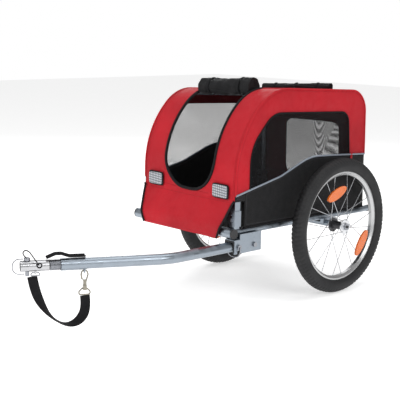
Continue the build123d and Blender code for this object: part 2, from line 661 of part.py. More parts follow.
ROLL_Y = AXLE_Y - 236
ROLL_Z = 606.0
ROLL_R = 27.0
FRONT_SEAM_Y = ROLL_Y + ROLL_R + 1
REAR_SEAM_Y = AXLE_Y + 84
outer_body = cabin_body(0, COVER_X)
inner_body = cabin_body(COVER_T, COVER_X + 0.01)
below = Pos(0, AXLE_Y, SKIRT_Z / 2 - 50) * Box(600, 1200, SKIRT_Z + 100)
front_box = Pos(0, FRONT_SEAM_Y - 500, 400) * Box(600, 1000, 800)
rear_box = Pos(0, REAR_SEAM_Y + 500, 400) * Box(600, 1000, 800)
belt = outer_body - inner_body
under_floor = Pos(0, AXLE_Y + 60, 200) * Box(600, 900, 2 * (SKIRT_Z - 200))

with BuildPart() as front_opening:
    with BuildSketch(Plane(origin=(0, FRONT_SEAM_Y + 50, 0), x_dir=(1, 0, 0), z_dir=(0, -1, 0))):
        with BuildLine():
            FilletPolyline((-OPENING_HALF, 700), (-OPENING_HALF, 318), (OPENING_HALF, 318),
                           (OPENING_HALF, 700), radius=92)
            Line((OPENING_HALF, 700), (-OPENING_HALF, 700))
        make_face()
        for side in (-1, 1):
            with BuildLine():
                Polyline((side * 150, 190), (side * 300, 190), (side * 300, FOOT_TOP + 3),
                         (side * 193, FOOT_TOP + 3), (side * 150, 202), close=True)
            make_face()
    extrude(amount=400)
front_cover = (belt & front_box) - front_opening.part - under_floor
finish(max(front_cover.solids(), key=lambda solid: solid.volume), "front_cover")
roof_cover = belt - front_box - rear_box - below
finish(max(roof_cover.solids(), key=lambda solid: solid.volume), "roof_cover")

REAR_WINDOW = (210.0, 180.0, 395.0)   # width, height, middle height
with BuildPart() as rear_opening:
    with BuildSketch(Plane(origin=(0, AXLE_Y + 100, 0), x_dir=(1, 0, 0), z_dir=(0, -1, 0))):
        with Locations((0, REAR_WINDOW[2])):
            RectangleRounded(REAR_WINDOW[0], REAR_WINDOW[1], 26)
    extrude(amount=-200)
rear_wall = (belt & rear_box) - below
rear_wall = max(rear_wall.solids(), key=lambda solid: solid.volume)
finish(rear_wall - rear_opening.part, "rear_cover")
rear_mesh = rear_wall & rear_opening.part
finish(rear_mesh.solids()[0], "rear_window_mesh")

with BuildPart() as cabin_floor:
    with Locations(((0), (FRONT_Y + 16 + REAR_CROSS_Y - 10) / 2, 224)):
        Box(2 * (RAIL_X - RAIL_R - 1), REAR_CROSS_Y - 10 - FRONT_Y - 16, 4)
finish(cabin_floor.part, "cabin_floor")

for name, y, z, radius, half in (("front_roll", ROLL_Y, ROLL_Z, ROLL_R, 103),
                                 ("rear_roll", AXLE_Y + 62, 602.5, 12, 138)):
    with BuildPart() as roll:
        with BuildSketch(Plane(origin=(0, y, z), z_dir=(1, 0, 0))):
            Circle(radius)
        extrude(amount=half, both=True)
        if name == "rear_roll":
            add(outer_body, mode=Mode.SUBTRACT)
    finish(roll.part, name)

with BuildPart() as front_reflectors:
    for x in (-141, 141):
        set_back = NEST * (COVER_X - x) / (2 * COVER_X)
        tilt = degrees(atan2(NEST, 2 * COVER_X))
        with Locations(Location((x, FRONT_Y + set_back - 5.6, 330), (0, 0, -tilt))):
            Box(66, 6, 40)
finish(front_reflectors.part, "front_reflectors")
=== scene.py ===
"""Looks of a small pet bicycle trailer: fabric cabin, wheels, tow arm, straps and a pale studio."""

from math import cos, pi, radians, sin

import bmesh
import bpy
import numpy as np
from mathutils import Matrix, Vector


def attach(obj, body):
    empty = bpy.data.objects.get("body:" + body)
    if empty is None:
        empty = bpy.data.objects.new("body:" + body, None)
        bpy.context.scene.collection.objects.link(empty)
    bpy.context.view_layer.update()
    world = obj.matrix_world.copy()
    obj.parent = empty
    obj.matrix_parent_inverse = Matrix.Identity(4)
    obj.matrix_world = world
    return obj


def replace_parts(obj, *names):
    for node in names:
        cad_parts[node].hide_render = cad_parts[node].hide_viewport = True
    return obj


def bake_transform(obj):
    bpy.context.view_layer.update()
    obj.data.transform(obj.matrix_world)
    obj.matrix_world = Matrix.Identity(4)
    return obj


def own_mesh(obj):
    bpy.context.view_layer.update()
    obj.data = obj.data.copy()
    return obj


bl_info = {
    "name": "Pet Bicycle Trailer",
    "version": (1, 0, 0),
    "blender": (4, 5, 0),
    "location": "View3D > Sidebar > Trailer",
    "description": "Dresses the frame of a pet bicycle trailer with fabric, tyres, straps and finishes",
    "category": "Add Mesh",
}

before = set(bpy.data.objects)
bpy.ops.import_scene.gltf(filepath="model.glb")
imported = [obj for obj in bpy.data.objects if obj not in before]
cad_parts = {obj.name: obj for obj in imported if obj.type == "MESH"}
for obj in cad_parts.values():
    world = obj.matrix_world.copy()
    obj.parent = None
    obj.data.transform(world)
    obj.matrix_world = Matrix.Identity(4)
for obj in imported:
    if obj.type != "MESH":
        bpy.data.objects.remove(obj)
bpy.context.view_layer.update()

MM = 0.001
AXLE_Y = 388.2
AXLE_Z = 200.0
CHASSIS, ARM, HITCH = "chassis", "arm", "hitch"
SIDES = ((1, "left"), (-1, "right"))

# ---- sizes of the cabin, in millimetres ----
COVER_X = 195.0
WALL, NET_WALL, COARSE_MERGE = 2.2, 0.5, 0.0004
NEST = 22.0
FRONT_Y = AXLE_Y - 398
FOOT_Y = AXLE_Y - 419.3
REAR_Y = AXLE_Y + 163
ROOF_FRONT_Z, ROOF_REAR_Z = 607.0, 588.0
ROOF_SLOPE = (ROOF_REAR_Z - ROOF_FRONT_Z) / 407.0
SHOULDER_Z = 474.0
SKIRT_Z = 233.0
CUT_TOP_Z = 308.0
CUT_IN_X, CUT_OUT_X = 150.0, 193.0
DOOR_HALF, DOOR_SILL_Z, DOOR_RADIUS = 106.0, 318.0, 92.0
REAR_WINDOW_HALF, REAR_WINDOW_LOW, REAR_WINDOW_HIGH, REAR_WINDOW_RADIUS = 105.0, 305.0, 485.0, 26.0
WINDOW_FRONT_Y, WINDOW_REAR_Y = AXLE_Y - 343, AXLE_Y + 84
ROLL_Y, ROLL_Z, ROLL_R, ROLL_HALF = AXLE_Y - 236, 606.0, 26.0, 102.0
REAR_ROLL_Y, REAR_ROLL_R, REAR_ROLL_HALF = AXLE_Y + 62, 11.0, 136.0
REFLECTOR_X, REFLECTOR_Z = 141, 330.0
FRONT_SEAM_Y = AXLE_Y - 208
REAR_SEAM_Y = AXLE_Y + 84

# ---- sizes of the tow arm's front run ----
BEND = np.array((187.0, AXLE_Y - 620, 183.0))
TIP = np.array((13.0, AXLE_Y - 965, 183.0))
ALONG = (TIP - BEND) / np.linalg.norm(TIP - BEND)
ACROSS = np.array((-ALONG[1], ALONG[0], 0.0))
UP = np.array((0.0, 0.0, 1.0))
FLEX_START, FLEX_END = 282.0, 311.0
ARM_R = 14.0
SPRING_WIRE_R, SPRING_TURNS = 1.75, 8

# ---- sizes of the wheels ----
WHEEL_X, TYRE_RING_R, TYRE_SECTION_R, TYRE_BEAD_R = 238.0, 178.0, 22.0, 161.0
TREAD_BLOCKS = 96


def run_at(distance, height=0.0, side=0.0):
    """Point on the arm's front run, from its distance, height and side offset in millimetres."""
    return BEND + ALONG * distance + UP * height + ACROSS * side


# ---------------------------------------------------------------- shapes
def rounded_path(points, radii, run_steps=14, arc_steps=18):
    """Straight runs joined by arcs: each arc touches both runs and turns evenly about its centre."""
    points = np.asarray(points, float)
    pieces, start = [], points[0]
    for before, corner, after, radius in zip(points, points[1:], points[2:], radii):
        heading_in = (corner - before) / np.linalg.norm(corner - before)
        heading_out = (after - corner) / np.linalg.norm(after - corner)
        turn = np.arccos(np.clip(heading_in @ heading_out, -1, 1))
        reach = radius * np.tan(turn / 2)
        enter = corner - heading_in * reach
        inward = heading_out - heading_in * (heading_in @ heading_out)
        inward /= np.linalg.norm(inward)
        angle = np.linspace(0, turn, arc_steps, endpoint=False)[:, None]
        pieces.append(np.linspace(start, enter, run_steps, endpoint=False))
        pieces.append(enter + radius * (np.sin(angle) * heading_in + (1 - np.cos(angle)) * inward))
        start = corner + heading_out * reach
    pieces.append(np.linspace(start, points[-1], run_steps))
    return np.concatenate(pieces)


def outline_corners(nest):
    """Corners of a side outline, as Y and Z: the shoulder, the roof's two ends and the rear foot."""
    front, shoulder = FRONT_Y + nest, SHOULDER_Z - 0.42 * nest
    roof_front = (front + ROOF_FRONT_Z - nest - shoulder, ROOF_FRONT_Z - nest)
    top_y = AXLE_Y + 152 - nest
    top = (top_y, roof_front[1] + ROOF_SLOPE * (top_y - roof_front[0]))
    return (front, shoulder), roof_front, top, (REAR_Y - nest, SKIRT_Z)


def corner_radii(nest):
    """Radii of the shoulder's, the roof front's and the roof rear's arcs."""
    return [275 - nest, 155 - nest, 68 - nest]


def cabin_outline(nest):
    """The cabin seen from the side, from the front foot over the roof to the rear foot."""
    corners = [(FOOT_Y, 203), (FOOT_Y, 238), (FRONT_Y + nest, CUT_TOP_Z), *outline_corners(nest)]
    return rounded_path(corners, [45, 60, *corner_radii(nest)])


OUTLINE = {1: cabin_outline(0), -1: cabin_outline(NEST)}
ROWS = len(OUTLINE[1])
MEAN_OUTLINE = (OUTLINE[1] + OUTLINE[-1]) / 2


def row_where(column, value, rising):
    """Row number at which the mean outline's Y or Z passes a value, on its rising or falling side."""
    line = MEAN_OUTLINE[:, column]
    peak = int(np.argmax(MEAN_OUTLINE[:, 1]))
    if column == 0 or rising:
        part = line[:peak + 1] if column else line
        return float(np.interp(value, np.maximum.accumulate(part), np.arange(len(part))))
    part = line[peak:][::-1]
    return float(peak + len(part) - 1 - np.interp(value, part, np.arange(len(part))))


def belt(rows, across):
    """Ruled surface between the two side outlines: a point is their mix by its place across."""
    rows, across = np.broadcast_arrays(rows, across)
    share = ((COVER_X - across) / (2 * COVER_X))[..., None]
    numbers = np.arange(ROWS)
    sides = {side: np.stack([np.interp(rows, numbers, line[:, k]) for k in (0, 1)], -1)
             for side, line in OUTLINE.items()}
    mixed = sides[1] * (1 - share) + sides[-1] * share
    return np.concatenate([across[..., None], mixed], -1)


def normals_of(grid):
    """Unit normals of a grid, from the cross product of its two directions."""
    along_rows, along_columns = np.gradient(grid, axis=0), np.gradient(grid, axis=1)
    cross = np.cross(along_rows, along_columns)
    return cross / np.maximum(np.linalg.norm(cross, axis=-1, keepdims=True), 1e-9)


def faced_outward(grid, centre=(0.0, AXLE_Y - 110, 400.0)):
    """The grid, with its columns turned round where its normals would point inwards."""
    outward = np.sum(normals_of(grid) * (grid - np.array(centre)))
    return grid if outward > 0 else grid[:, ::-1]


def billow(grid, height):
    """Moves a grid along its normals: a sine hump, zero at its edges, with two soft wrinkles."""
    rows, columns = grid.shape[:2]
    u, v = np.meshgrid(np.linspace(0, 1, rows), np.linspace(0, 1, columns), indexing="ij")
    hump = np.sin(pi * u) * np.sin(pi * v)
    wrinkle = 0.25 * np.sin(9 * u + 4 * v) * np.sin(pi * u) * np.sin(pi * v)
    return grid + normals_of(grid) * (height * (hump + wrinkle))[..., None]


def grid_faces(rows, columns, offset=0):
    """Corner numbers of a grid's quads."""
    numbers = offset + np.arange(rows * columns).reshape(rows, columns)
    corners = (numbers[:-1, :-1], numbers[1:, :-1], numbers[1:, 1:], numbers[:-1, 1:])
    return np.stack(corners, -1).reshape(-1, 4)


def lengths_along(grid, axis):
    """Distance travelled along each grid line, in millimetres."""
    steps = np.linalg.norm(np.diff(grid, axis=axis), axis=-1)
    pad = [(1, 0), (0, 0)] if axis == 0 else [(0, 0), (1, 0)]
    return np.cumsum(np.pad(steps, pad), axis=axis)


def mesh_of(name, grids, finish, merge=0.00005, hems=True):
    """One object from several grids in millimetres. Its UV map holds the distances along the grid
    lines in metres, and its attribute 'hem' the distance to the nearest edge of its grid."""
    points, faces, uvs, hem, start = [], [], [], [], 0
    for grid in grids:
        rows, columns = grid.shape[:2]
        points.append(grid.reshape(-1, 3))
        faces.append(grid_faces(rows, columns, start))
        u, v = lengths_along(grid, 0), lengths_along(grid, 1)
        uvs.append(np.stack([u, v], -1).reshape(-1, 2))
        near = np.minimum(np.minimum(u, u[-1:] - u), np.minimum(v, v[:, -1:] - v))
        hem.append((near if hems else near + 1000).ravel())
        start += rows * columns
    points, faces, uvs, hem = (np.concatenate(part) for part in (points, faces, uvs, hem))
    mesh = bpy.data.meshes.new(name)
    mesh.from_pydata((points * MM).tolist(), [], faces.tolist())
    layer = mesh.uv_layers.new(name="UVMap")
    corner = np.empty(len(mesh.loops), np.int32)
    mesh.loops.foreach_get("vertex_index", corner)
    layer.data.foreach_set("uv", (uvs[corner] * MM).ravel())
    mesh.attributes.new("hem", "FLOAT", "POINT").data.foreach_set("value", hem * MM)
    mesh.polygons.foreach_set("use_smooth", [True] * len(mesh.polygons))
    built = bmesh.new()
    built.from_mesh(mesh)
    bmesh.ops.remove_doubles(built, verts=built.verts, dist=merge)
    bmesh.ops.dissolve_degenerate(built, edges=built.edges, dist=1e-7)
    built.to_mesh(mesh)
    built.free()
    mesh.materials.append(finish_of(finish))
    piece = bpy.data.objects.new(name, mesh)
    bpy.context.collection.objects.link(piece)
    return piece


def ring_frames(path, reference):
    """Two unit directions square to a path at each point, the first nearest to the reference."""
    tangent = np.gradient(path, axis=0)
    tangent /= np.linalg.norm(tangent, axis=1, keepdims=True)
    reference = np.broadcast_to(np.asarray(reference, float), path.shape)
    first = reference - tangent * np.sum(reference * tangent, axis=1, keepdims=True)
    first /= np.linalg.norm(first, axis=1, keepdims=True)
    return first, np.cross(tangent, first)


def tube_grid(path, radius, reference, sides=10, closed=False):
    """A circle of the radius carried along a path, its open ends drawn in to a point."""
    first, second = ring_frames(path, reference)
    angle = np.linspace(0, 2 * pi, sides + 1)[None, :, None]
    radius = np.broadcast_to(np.asarray(radius, float), (len(path),))[:, None, None]
    grid = path[:, None] + radius * (np.cos(angle) * first[:, None] + np.sin(angle) * second[:, None])
    if not closed:
        ends = [np.repeat(path[end][None, None], sides + 1, axis=1) for end in (0, -1)]
        grid = np.concatenate([ends[0], grid, ends[1]])
    return grid


def ribbon_grid(path, width_dir, width, thickness, droop=0.0):
    """A flat band carried along a path: its section is a rounded rectangle whose sides droop by a
    parabola, its ends closed."""
    tangent = np.gradient(path, axis=0)
    tangent /= np.linalg.norm(tangent, axis=1, keepdims=True)
    wide = width_dir - tangent * np.sum(width_dir * tangent, axis=1, keepdims=True)
    wide /= np.linalg.norm(wide, axis=1, keepdims=True)
    thin = np.cross(tangent, wide)
    angle = np.linspace(0, 2 * pi, 21)
    a = (np.sign(np.cos(angle)) * np.abs(np.cos(angle)) ** 0.35 * width / 2)[None, :, None]
    b = (np.sign(np.sin(angle)) * np.abs(np.sin(angle)) ** 0.7 * thickness / 2)[None, :, None]
    b = b - droop * (a / (width / 2)) ** 2
    grid = path[:, None] + a * wide[:, None] + b * thin[:, None]
    ends = [np.repeat(path[end][None, None], 21, axis=1) for end in (0, -1)]
    return np.concatenate([ends[0], grid, ends[1]])


def solidify(piece, thickness=WALL, inner=None):
    """Gives a sheet its thickness, inwards from its outer face."""
    if inner is not None:
        piece.data.materials.append(inner)
    wall = piece.modifiers.new("wall", "SOLIDIFY")
    wall.thickness = thickness * MM
    wall.offset = -1
    wall.use_even_offset = False
    if inner is not None:
        wall.material_offset = 1
    return piece


def fold_with_cabin(piece):
    """A cover piece rides on the chassis, with a mesh of its own."""
    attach(piece, CHASSIS)
    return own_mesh(piece)


def trim(name, grids, finish):
    """A small closed piece of the cabin, such as piping or a tie, which rides on the chassis with it."""
    return fold_with_cabin(mesh_of(name, grids, finish, hems=False))


def lined_cover(name, grids, node, merge=0.00005):
    """A red cover panel whose inner face is a darker red, a painted shade of the cabin's inside, in place
    of a node.
    """
    cover = mesh_of(name, grids, "red cloth", merge=merge)
    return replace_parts(fold_with_cabin(solidify(cover, WALL, finish_of("shaded_inside"))), node)


def net_window(name, grid, node):
    """A net in a window, in place of a node."""
    net = solidify(mesh_of(name, [grid], "net"), NET_WALL)
    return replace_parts(fold_with_cabin(net), node)


# ---------------------------------------------------------------- finishes
# A hem's stitches: how far they lie in from the edge, and their pitch, in metres.
SEAM_IN, STITCH_PITCH = 0.007, 0.0045


class Nodes:
    """Short calls for a material's nodes."""

    def __init__(self, name):
        self.material = bpy.data.materials.new(name)
        self.material.use_nodes = True
        self.tree = self.material.node_tree
        self.shader = self.tree.nodes["Principled BSDF"]

    def add(self, kind, inputs=(), **settings):
        """Adds a node, sets its properties, and fills its inputs with numbers or links."""
        node = self.tree.nodes.new("ShaderNode" + kind)
        for key, value in settings.items():
            setattr(node, key, value)
        for key, value in dict(inputs).items():
            self.fill(node.inputs[key], value)
        return node

    def fill(self, socket, value):
        """Links an output to a socket, or sets its number."""
        if isinstance(value, bpy.types.NodeSocket):
            self.tree.links.new(value, socket)
        else:
            socket.default_value = value

    def maths(self, operation, a, b=0.0, c=0.0):
        """One Math node's output."""
        return self.add("Math", {0: a, 1: b, 2: c}, operation=operation).outputs[0]

    def wave(self, value, rate):
        """Sine of a value times a rate."""
        return self.maths("SINE", self.maths("MULTIPLY", value, rate))

    def ridges(self, value, rate):
        """Absolute value of that sine."""
        return self.maths("ABSOLUTE", self.wave(value, rate))

    def axes(self, name="Object"):
        """The three coordinates of a place, one by one."""
        return self.add("SeparateXYZ", {0: self.place(name)}).outputs

    def colour_mix(self, share, low, high):
        """Two colours mixed by a share."""
        node = self.add("Mix", data_type="RGBA")
        self.fill(node.inputs[0], share)
        self.fill(node.inputs[6], low)
        self.fill(node.inputs[7], high)
        return node.outputs[2]

    def spread(self, value, low, high, to_low=0.0, to_high=1.0):
        """A value moved from one range to another, held at its ends."""
        return self.add("MapRange", {0: value, 1: low, 2: high, 3: to_low, 4: to_high}).outputs[0]

    def noise(self, where, scale, detail=3.0, roughness=0.5):
        """Noise at the given coordinates."""
        return self.add("TexNoise", {"Vector": where, "Scale": scale, "Detail": detail,
                                     "Roughness": roughness}).outputs[0]

    def bump(self, height, distance, strength=1.0, base=None):
        """A bump of the height field, on top of another where one is given."""
        node = self.add("Bump", {"Height": height, "Distance": distance, "Strength": strength})
        if base is not None:
            self.fill(node.inputs["Normal"], base)
        return node.outputs[0]

    def place(self, name="Object"):
        """Object coordinates or the UV map."""
        return self.add("TexCoord").outputs[name]

    def finish(self, **values):
        """Sets the shader's inputs, with underscores for spaces."""
        for key, value in values.items():
            self.fill(self.shader.inputs[key.replace("_", " ")], value)
        return self.material


def rgba(colour, factor=1.0):
    """Colour with full alpha, made lighter or darker."""
    return (*(min(1.0, channel * factor) for channel in colour[:3]), 1.0)


def woven(name, colour, pitch=1.3, stitch=None, sheen=0.04, wrinkle=0.0035):
    """Coated plain-weave cloth: crossing threads, wrinkles, faded patches and a stitched hem."""
    n = Nodes(name)
    spot = n.place()
    u, v = n.axes("UV")[:2]
    threads = n.maths("MULTIPLY", n.ridges(u, pi / (pitch * MM)), n.ridges(v, pi / (pitch * MM)))
    patches = n.noise(spot, 7.0, 4.0)
    grime = n.noise(spot, 45.0, 5.0, 0.65)
    hem = n.add("Attribute", attribute_name="hem").outputs["Fac"]
    off_seam = n.maths("ABSOLUTE", n.maths("SUBTRACT", hem, SEAM_IN))
    seam = n.maths("SUBTRACT", 1.0, n.spread(off_seam, 0.0004, 0.0009))
    dash = n.maths("GREATER_THAN", n.wave(n.maths("ADD", u, v), 2 * pi / STITCH_PITCH), -0.35)
    thread = n.maths("MULTIPLY", seam, dash)
    base = n.colour_mix(n.spread(patches, 0.3, 0.7), rgba(colour, 0.82), rgba(colour, 1.12))
    base = n.colour_mix(n.spread(grime, 0.55, 0.75, 0.0, 0.25), base, rgba(colour, 0.6))
    # Painted shade: the gaps between the crossing threads are darkened towards 0.45 of the colour.
    base = n.colour_mix(n.spread(threads, 0.0, 0.35, 0.35, 0.0), base, rgba(colour, 0.45))
    base = n.colour_mix(thread, base, stitch or rgba(colour, 0.55))
    pucker = n.maths("SUBTRACT", n.spread(hem, 0.003, 0.009), n.maths("MULTIPLY", thread, -0.5))
    normal = n.bump(n.noise(spot, 11.0, 2.0), wrinkle, 0.8)
    normal = n.bump(pucker, 0.0006, 0.6, normal)
    normal = n.bump(threads, 0.00025, 0.7, normal)
    return n.finish(Base_Color=base, Roughness=n.spread(grime, 0.3, 0.7, 0.5, 0.72), Normal=normal,
                    Sheen_Weight=sheen, Sheen_Roughness=0.4, Specular_IOR_Level=0.22)


def netting(name, colour, pitch=2.0, open_share=0.6):
    """Knitted net: round holes in a square pattern, open where two waves cross."""
    n = Nodes(name)
    u, v = n.axes("UV")[:2]
    turn = 2 * pi / (pitch * MM)
    holes = n.spread(n.maths("ADD", n.wave(u, turn), n.wave(v, turn)), -0.45, -0.05)
    tone = n.colour_mix(n.noise(n.place(), 30.0), rgba(colour, 0.7), rgba(colour, 1.6))
    solid = n.maths("SUBTRACT", 1.0, n.maths("MULTIPLY", holes, min(1.0, open_share * 1.6)))
    return n.finish(Base_Color=tone, Alpha=solid, Roughness=0.75, Specular_IOR_Level=0.2,
                    Normal=n.bump(holes, 0.0004, 0.6))


def webbing(name, colour):
    """Flat woven strap: ribs across it, a fine twill between, and worn, paler patches."""
    n = Nodes(name)
    u, v = n.axes("UV")[:2]
    ribs = n.ridges(u, pi / 0.0014)
    twill = n.wave(n.maths("ADD", u, v), 2 * pi / 0.0018)
    # Painted light and shade: the ribs' crests are lightened to 1.7 of the colour and the grooves between
    # them darkened to 0.5.
    tone = n.colour_mix(ribs, rgba(colour, 0.5), rgba(colour, 1.7))
    worn = n.spread(n.noise(n.place(), 60.0, 4.0), 0.5, 0.8, 0.0, 0.3)
    tone = n.colour_mix(worn, tone, rgba(colour, 3.0))
    height = n.maths("ADD", ribs, n.maths("MULTIPLY", twill, 0.3))
    return n.finish(Base_Color=tone, Roughness=0.7, Specular_IOR_Level=0.2,
                    Normal=n.bump(height, 0.0004, 0.8))


def metal(name, colour, rough=(0.28, 0.48), cell=70.0, grain=0.00012, spangle=0.16, metallic=1.0):
    """Plated or bare metal: crystal spangle or haze in tone and gloss, and fine drawn grain."""
    n = Nodes(name)
    spot = n.place()
    crystal = n.add("TexVoronoi", {"Vector": spot, "Scale": cell}).outputs["Color"]
    haze = n.noise(spot, 22.0, 5.0, 0.6)
    fine = n.noise(spot, 900.0, 2.0)
    share = n.maths("ADD", n.maths("MULTIPLY", n.add("SeparateColor", {0: crystal}).outputs[0], 0.5),
                    n.maths("MULTIPLY", haze, 0.5))
    base = n.colour_mix(share, rgba(colour, 1 - spangle), rgba(colour, 1 + spangle))
    dull = n.spread(n.noise(spot, 140.0, 4.0), 0.62, 0.75, 0.0, 0.35)
    base = n.colour_mix(dull, base, rgba(colour, 0.6))
    return n.finish(Base_Color=base, Metallic=metallic, Roughness=n.spread(share, 0.3, 0.7, *rough),
                    Normal=n.bump(fine, grain, 0.5, n.bump(haze, 0.0006, 0.15)))


def turned_metal(name, colour, low, high, centre):
    """Machined wheel metal: fine rings about the axle in its bump, and haze in its tone and gloss."""
    n = Nodes(name)
    spot = n.add("Mapping", {"Vector": n.place(), "Location": [-c for c in centre]}).outputs[0]
    y, z = n.add("SeparateXYZ", {0: spot}).outputs[1:]
    reach = n.maths("SQRT", n.maths("ADD", n.maths("MULTIPLY", y, y), n.maths("MULTIPLY", z, z)))
    rings = n.wave(reach, 2 * pi / 0.0012)
    haze = n.noise(spot, 30.0, 4.0)
    base = n.colour_mix(haze, rgba(colour, 0.85), rgba(colour, 1.1))
    return n.finish(Base_Color=base, Metallic=1.0, Roughness=n.spread(haze, 0.3, 0.7, low, high),
                    Normal=n.bump(rings, 0.00008, 0.4))


def hub_finish(name, shell, flange):
    """Dark painted hub shell, with bright flanges and ends that are told apart by their distance
    from the wheel's middle."""
    n = Nodes(name)
    off = n.maths("SUBTRACT", n.maths("ABSOLUTE", n.axes()[0]), WHEEL_X * MM)
    bright = n.spread(n.maths("ABSOLUTE", off), 0.0205, 0.0215)
    haze = n.noise(n.place(), 120.0, 4.0)
    base = n.colour_mix(bright, n.colour_mix(haze, rgba(shell, 0.7), rgba(shell, 1.5)), rgba(flange))
    return n.finish(Base_Color=base, Metallic=n.spread(bright, 0.0, 1.0, 0.4, 1.0),
                    Roughness=n.spread(haze, 0.3, 0.7, 0.28, 0.42), Normal=n.bump(haze, 0.0002, 0.3))


def rubber(name, colour):
    """Tyre rubber: dusty black with mould grain, paler where it is scuffed."""
    n = Nodes(name)
    spot = n.place()
    dust = n.noise(spot, 16.0, 5.0, 0.65)
    grain = n.noise(spot, 520.0, 3.0)
    base = n.colour_mix(n.spread(dust, 0.45, 0.75, 0.0, 0.5), rgba(colour), rgba(colour, 1.9))
    return n.finish(Base_Color=base, Roughness=n.spread(dust, 0.3, 0.7, 0.55, 0.8),
                    Normal=n.bump(grain, 0.00015, 0.5))


def moulded(name, colour, rough=0.45):
    """Moulded plastic: fine spark grain, slight mottling."""
    n = Nodes(name)
    spot = n.place()
    grain, mottle = n.noise(spot, 700.0, 2.0), n.noise(spot, 35.0, 3.0)
    base = n.colour_mix(mottle, rgba(colour, 0.8), rgba(colour, 1.3))
    return n.finish(Base_Color=base, Roughness=n.spread(mottle, 0.3, 0.7, rough - 0.08, rough + 0.1),
                    Normal=n.bump(grain, 0.0001, 0.5))


def prismatic(name, colour, deep, pitch=2.6, coat=1.0):
    """Reflector lens: rows of small pyramids under a clear face, with painted shade in their corners."""
    n = Nodes(name)
    x, y, z = n.axes()
    turn = pi / (pitch * MM)
    cell = n.maths("MULTIPLY", n.ridges(n.maths("ADD", x, y), turn),
                   n.ridges(n.maths("SUBTRACT", z, y), turn))
    # Painted shade: the pyramids' corners take the darker second colour.
    base = n.colour_mix(n.spread(cell, 0.1, 0.9), rgba(deep), rgba(colour))
    return n.finish(Base_Color=base, Roughness=0.16, Coat_Weight=coat, Coat_Roughness=0.05,
                    Normal=n.bump(cell, 0.0008, 0.6))


FINISHES = {}


def finish_of(name):
    """The scene's material of that name, made once."""
    if name not in FINISHES:
        cabin, metals = bpy.context.scene.trailer_cabin, bpy.context.scene.trailer_metal
        axle = (0.0, AXLE_Y * MM, AXLE_Z * MM)
        black = (0.006, 0.006, 0.007)
        makers = {
            "red cloth": lambda: woven(name, cabin.cloth, wrinkle=cabin.wrinkle),
            # The inner faces' dark red is painted shade of the cabin's inside.
            "shaded_inside": lambda: woven(name, cabin.shaded_inside, sheen=0.0, wrinkle=cabin.wrinkle),
            "black cloth": lambda: woven(name, cabin.lower_cloth, stitch=rgba((0.05, 0.05, 0.055)),
                                         wrinkle=cabin.wrinkle),
            "net": lambda: netting(name, cabin.net, open_share=cabin.net_open),
            "binding": lambda: webbing(name, black),
            "reflective piping": lambda: woven(name, cabin.piping, pitch=0.8, sheen=0.02,
                                               wrinkle=0.0005),
            "webbing": lambda: webbing(name, black),
            "galvanised": lambda: metal(name, metals.tube),
            "hitch aluminium": lambda: metal(name, (0.50, 0.505, 0.52), (0.2, 0.38), 25.0, 0.0001,
                                             0.08),
            "zinc": lambda: metal(name, (0.30, 0.31, 0.335), (0.2, 0.36), 60.0, 0.00008, 0.1),
            "cast zinc": lambda: metal(name, (0.30, 0.28, 0.235), (0.26, 0.46), 40.0, 0.0003, 0.14),
            "rim alloy": lambda: turned_metal(name, (0.52, 0.525, 0.53), 0.24, 0.42, axle),
            "spoke steel": lambda: metal(name, (0.50, 0.51, 0.53), (0.14, 0.26), 200.0, 0.00005, 0.05),
            "hub": lambda: hub_finish(name, (0.05, 0.05, 0.055), (0.72, 0.73, 0.75)),
            "tyre rubber": lambda: rubber(name, (0.008, 0.008, 0.009)),
            "black plastic": lambda: moulded(name, (0.018, 0.018, 0.02)),
            "orange lens": lambda: prismatic(name, (0.95, 0.22, 0.008), (0.70, 0.11, 0.004), 3.0, 0.5),
            "clear lens": lambda: prismatic(name, (0.52, 0.55, 0.58), (0.10, 0.11, 0.13), 7.0, 0.4),
        }
        FINISHES[name] = makers[name]()
    return FINISHES[name]


def dress(finish, *nodes):
    """Gives carried-over nodes a finish."""
    for node in nodes:
        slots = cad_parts[node].data.materials
        slots.clear()
        slots.append(finish_of(finish))


# ---------------------------------------------------------------- settings
def colour_setting(name, description, default):
    """A colour."""
    return bpy.props.FloatVectorProperty(name=name, description=description, subtype="COLOR", size=3,
                                         default=default, min=0, max=1)


def number_setting(name, description, subtype, default, low, high):
    """A number within its limits."""
    return bpy.props.FloatProperty(name=name, description=description, subtype=subtype,
                                   default=default, min=low, max=high)


class TrailerCabin(bpy.types.PropertyGroup):
    """Colours and softness of the cabin."""
    cloth: colour_setting("Cover", "Colour of the covers", (0.50, 0.008, 0.018))
    # The covers' inner faces take a dark red: painted shade of the cabin's inside.
    shaded_inside: colour_setting("Lining", "Colour inside the covers", (0.11, 0.006, 0.009))
    lower_cloth: colour_setting("Lower panels", "Colour of the lower side panels and rolls",
                                (0.006, 0.006, 0.007))
    net: colour_setting("Net", "Colour of the windows' net", (0.008, 0.008, 0.009))
    piping: colour_setting("Reflective piping", "Colour of the piping on the lower panels",
                           (0.30, 0.34, 0.40))
    net_open: number_setting("Net openness", "How much of the net is holes", "FACTOR", 0.6, 0, 1)
    wrinkle: number_setting("Wrinkles", "Depth of the cloth's fine wrinkles", "DISTANCE",
                            0.0035, 0, 0.01)
    billow: number_setting("Billow", "How far a panel stands out at its middle", "DISTANCE",
                           0.0025, 0, 0.006)
    door_piping: number_setting("Door piping", "Radius of the piping round the front opening",
                                "DISTANCE", 0.0042, 0.001, 0.006)


class TrailerMetal(bpy.types.PropertyGroup):
    """Tubes and wheels."""
    tube: colour_setting("Tubes", "Colour of the galvanised tubes", (0.30, 0.34, 0.385))
    tread: number_setting("Tread depth", "Depth of the tyres' grooves", "DISTANCE", 0.0016, 0, 0.003)
    strap_width: number_setting("Strap width", "Width of the safety strap", "DISTANCE",
                                0.025, 0.015, 0.03)


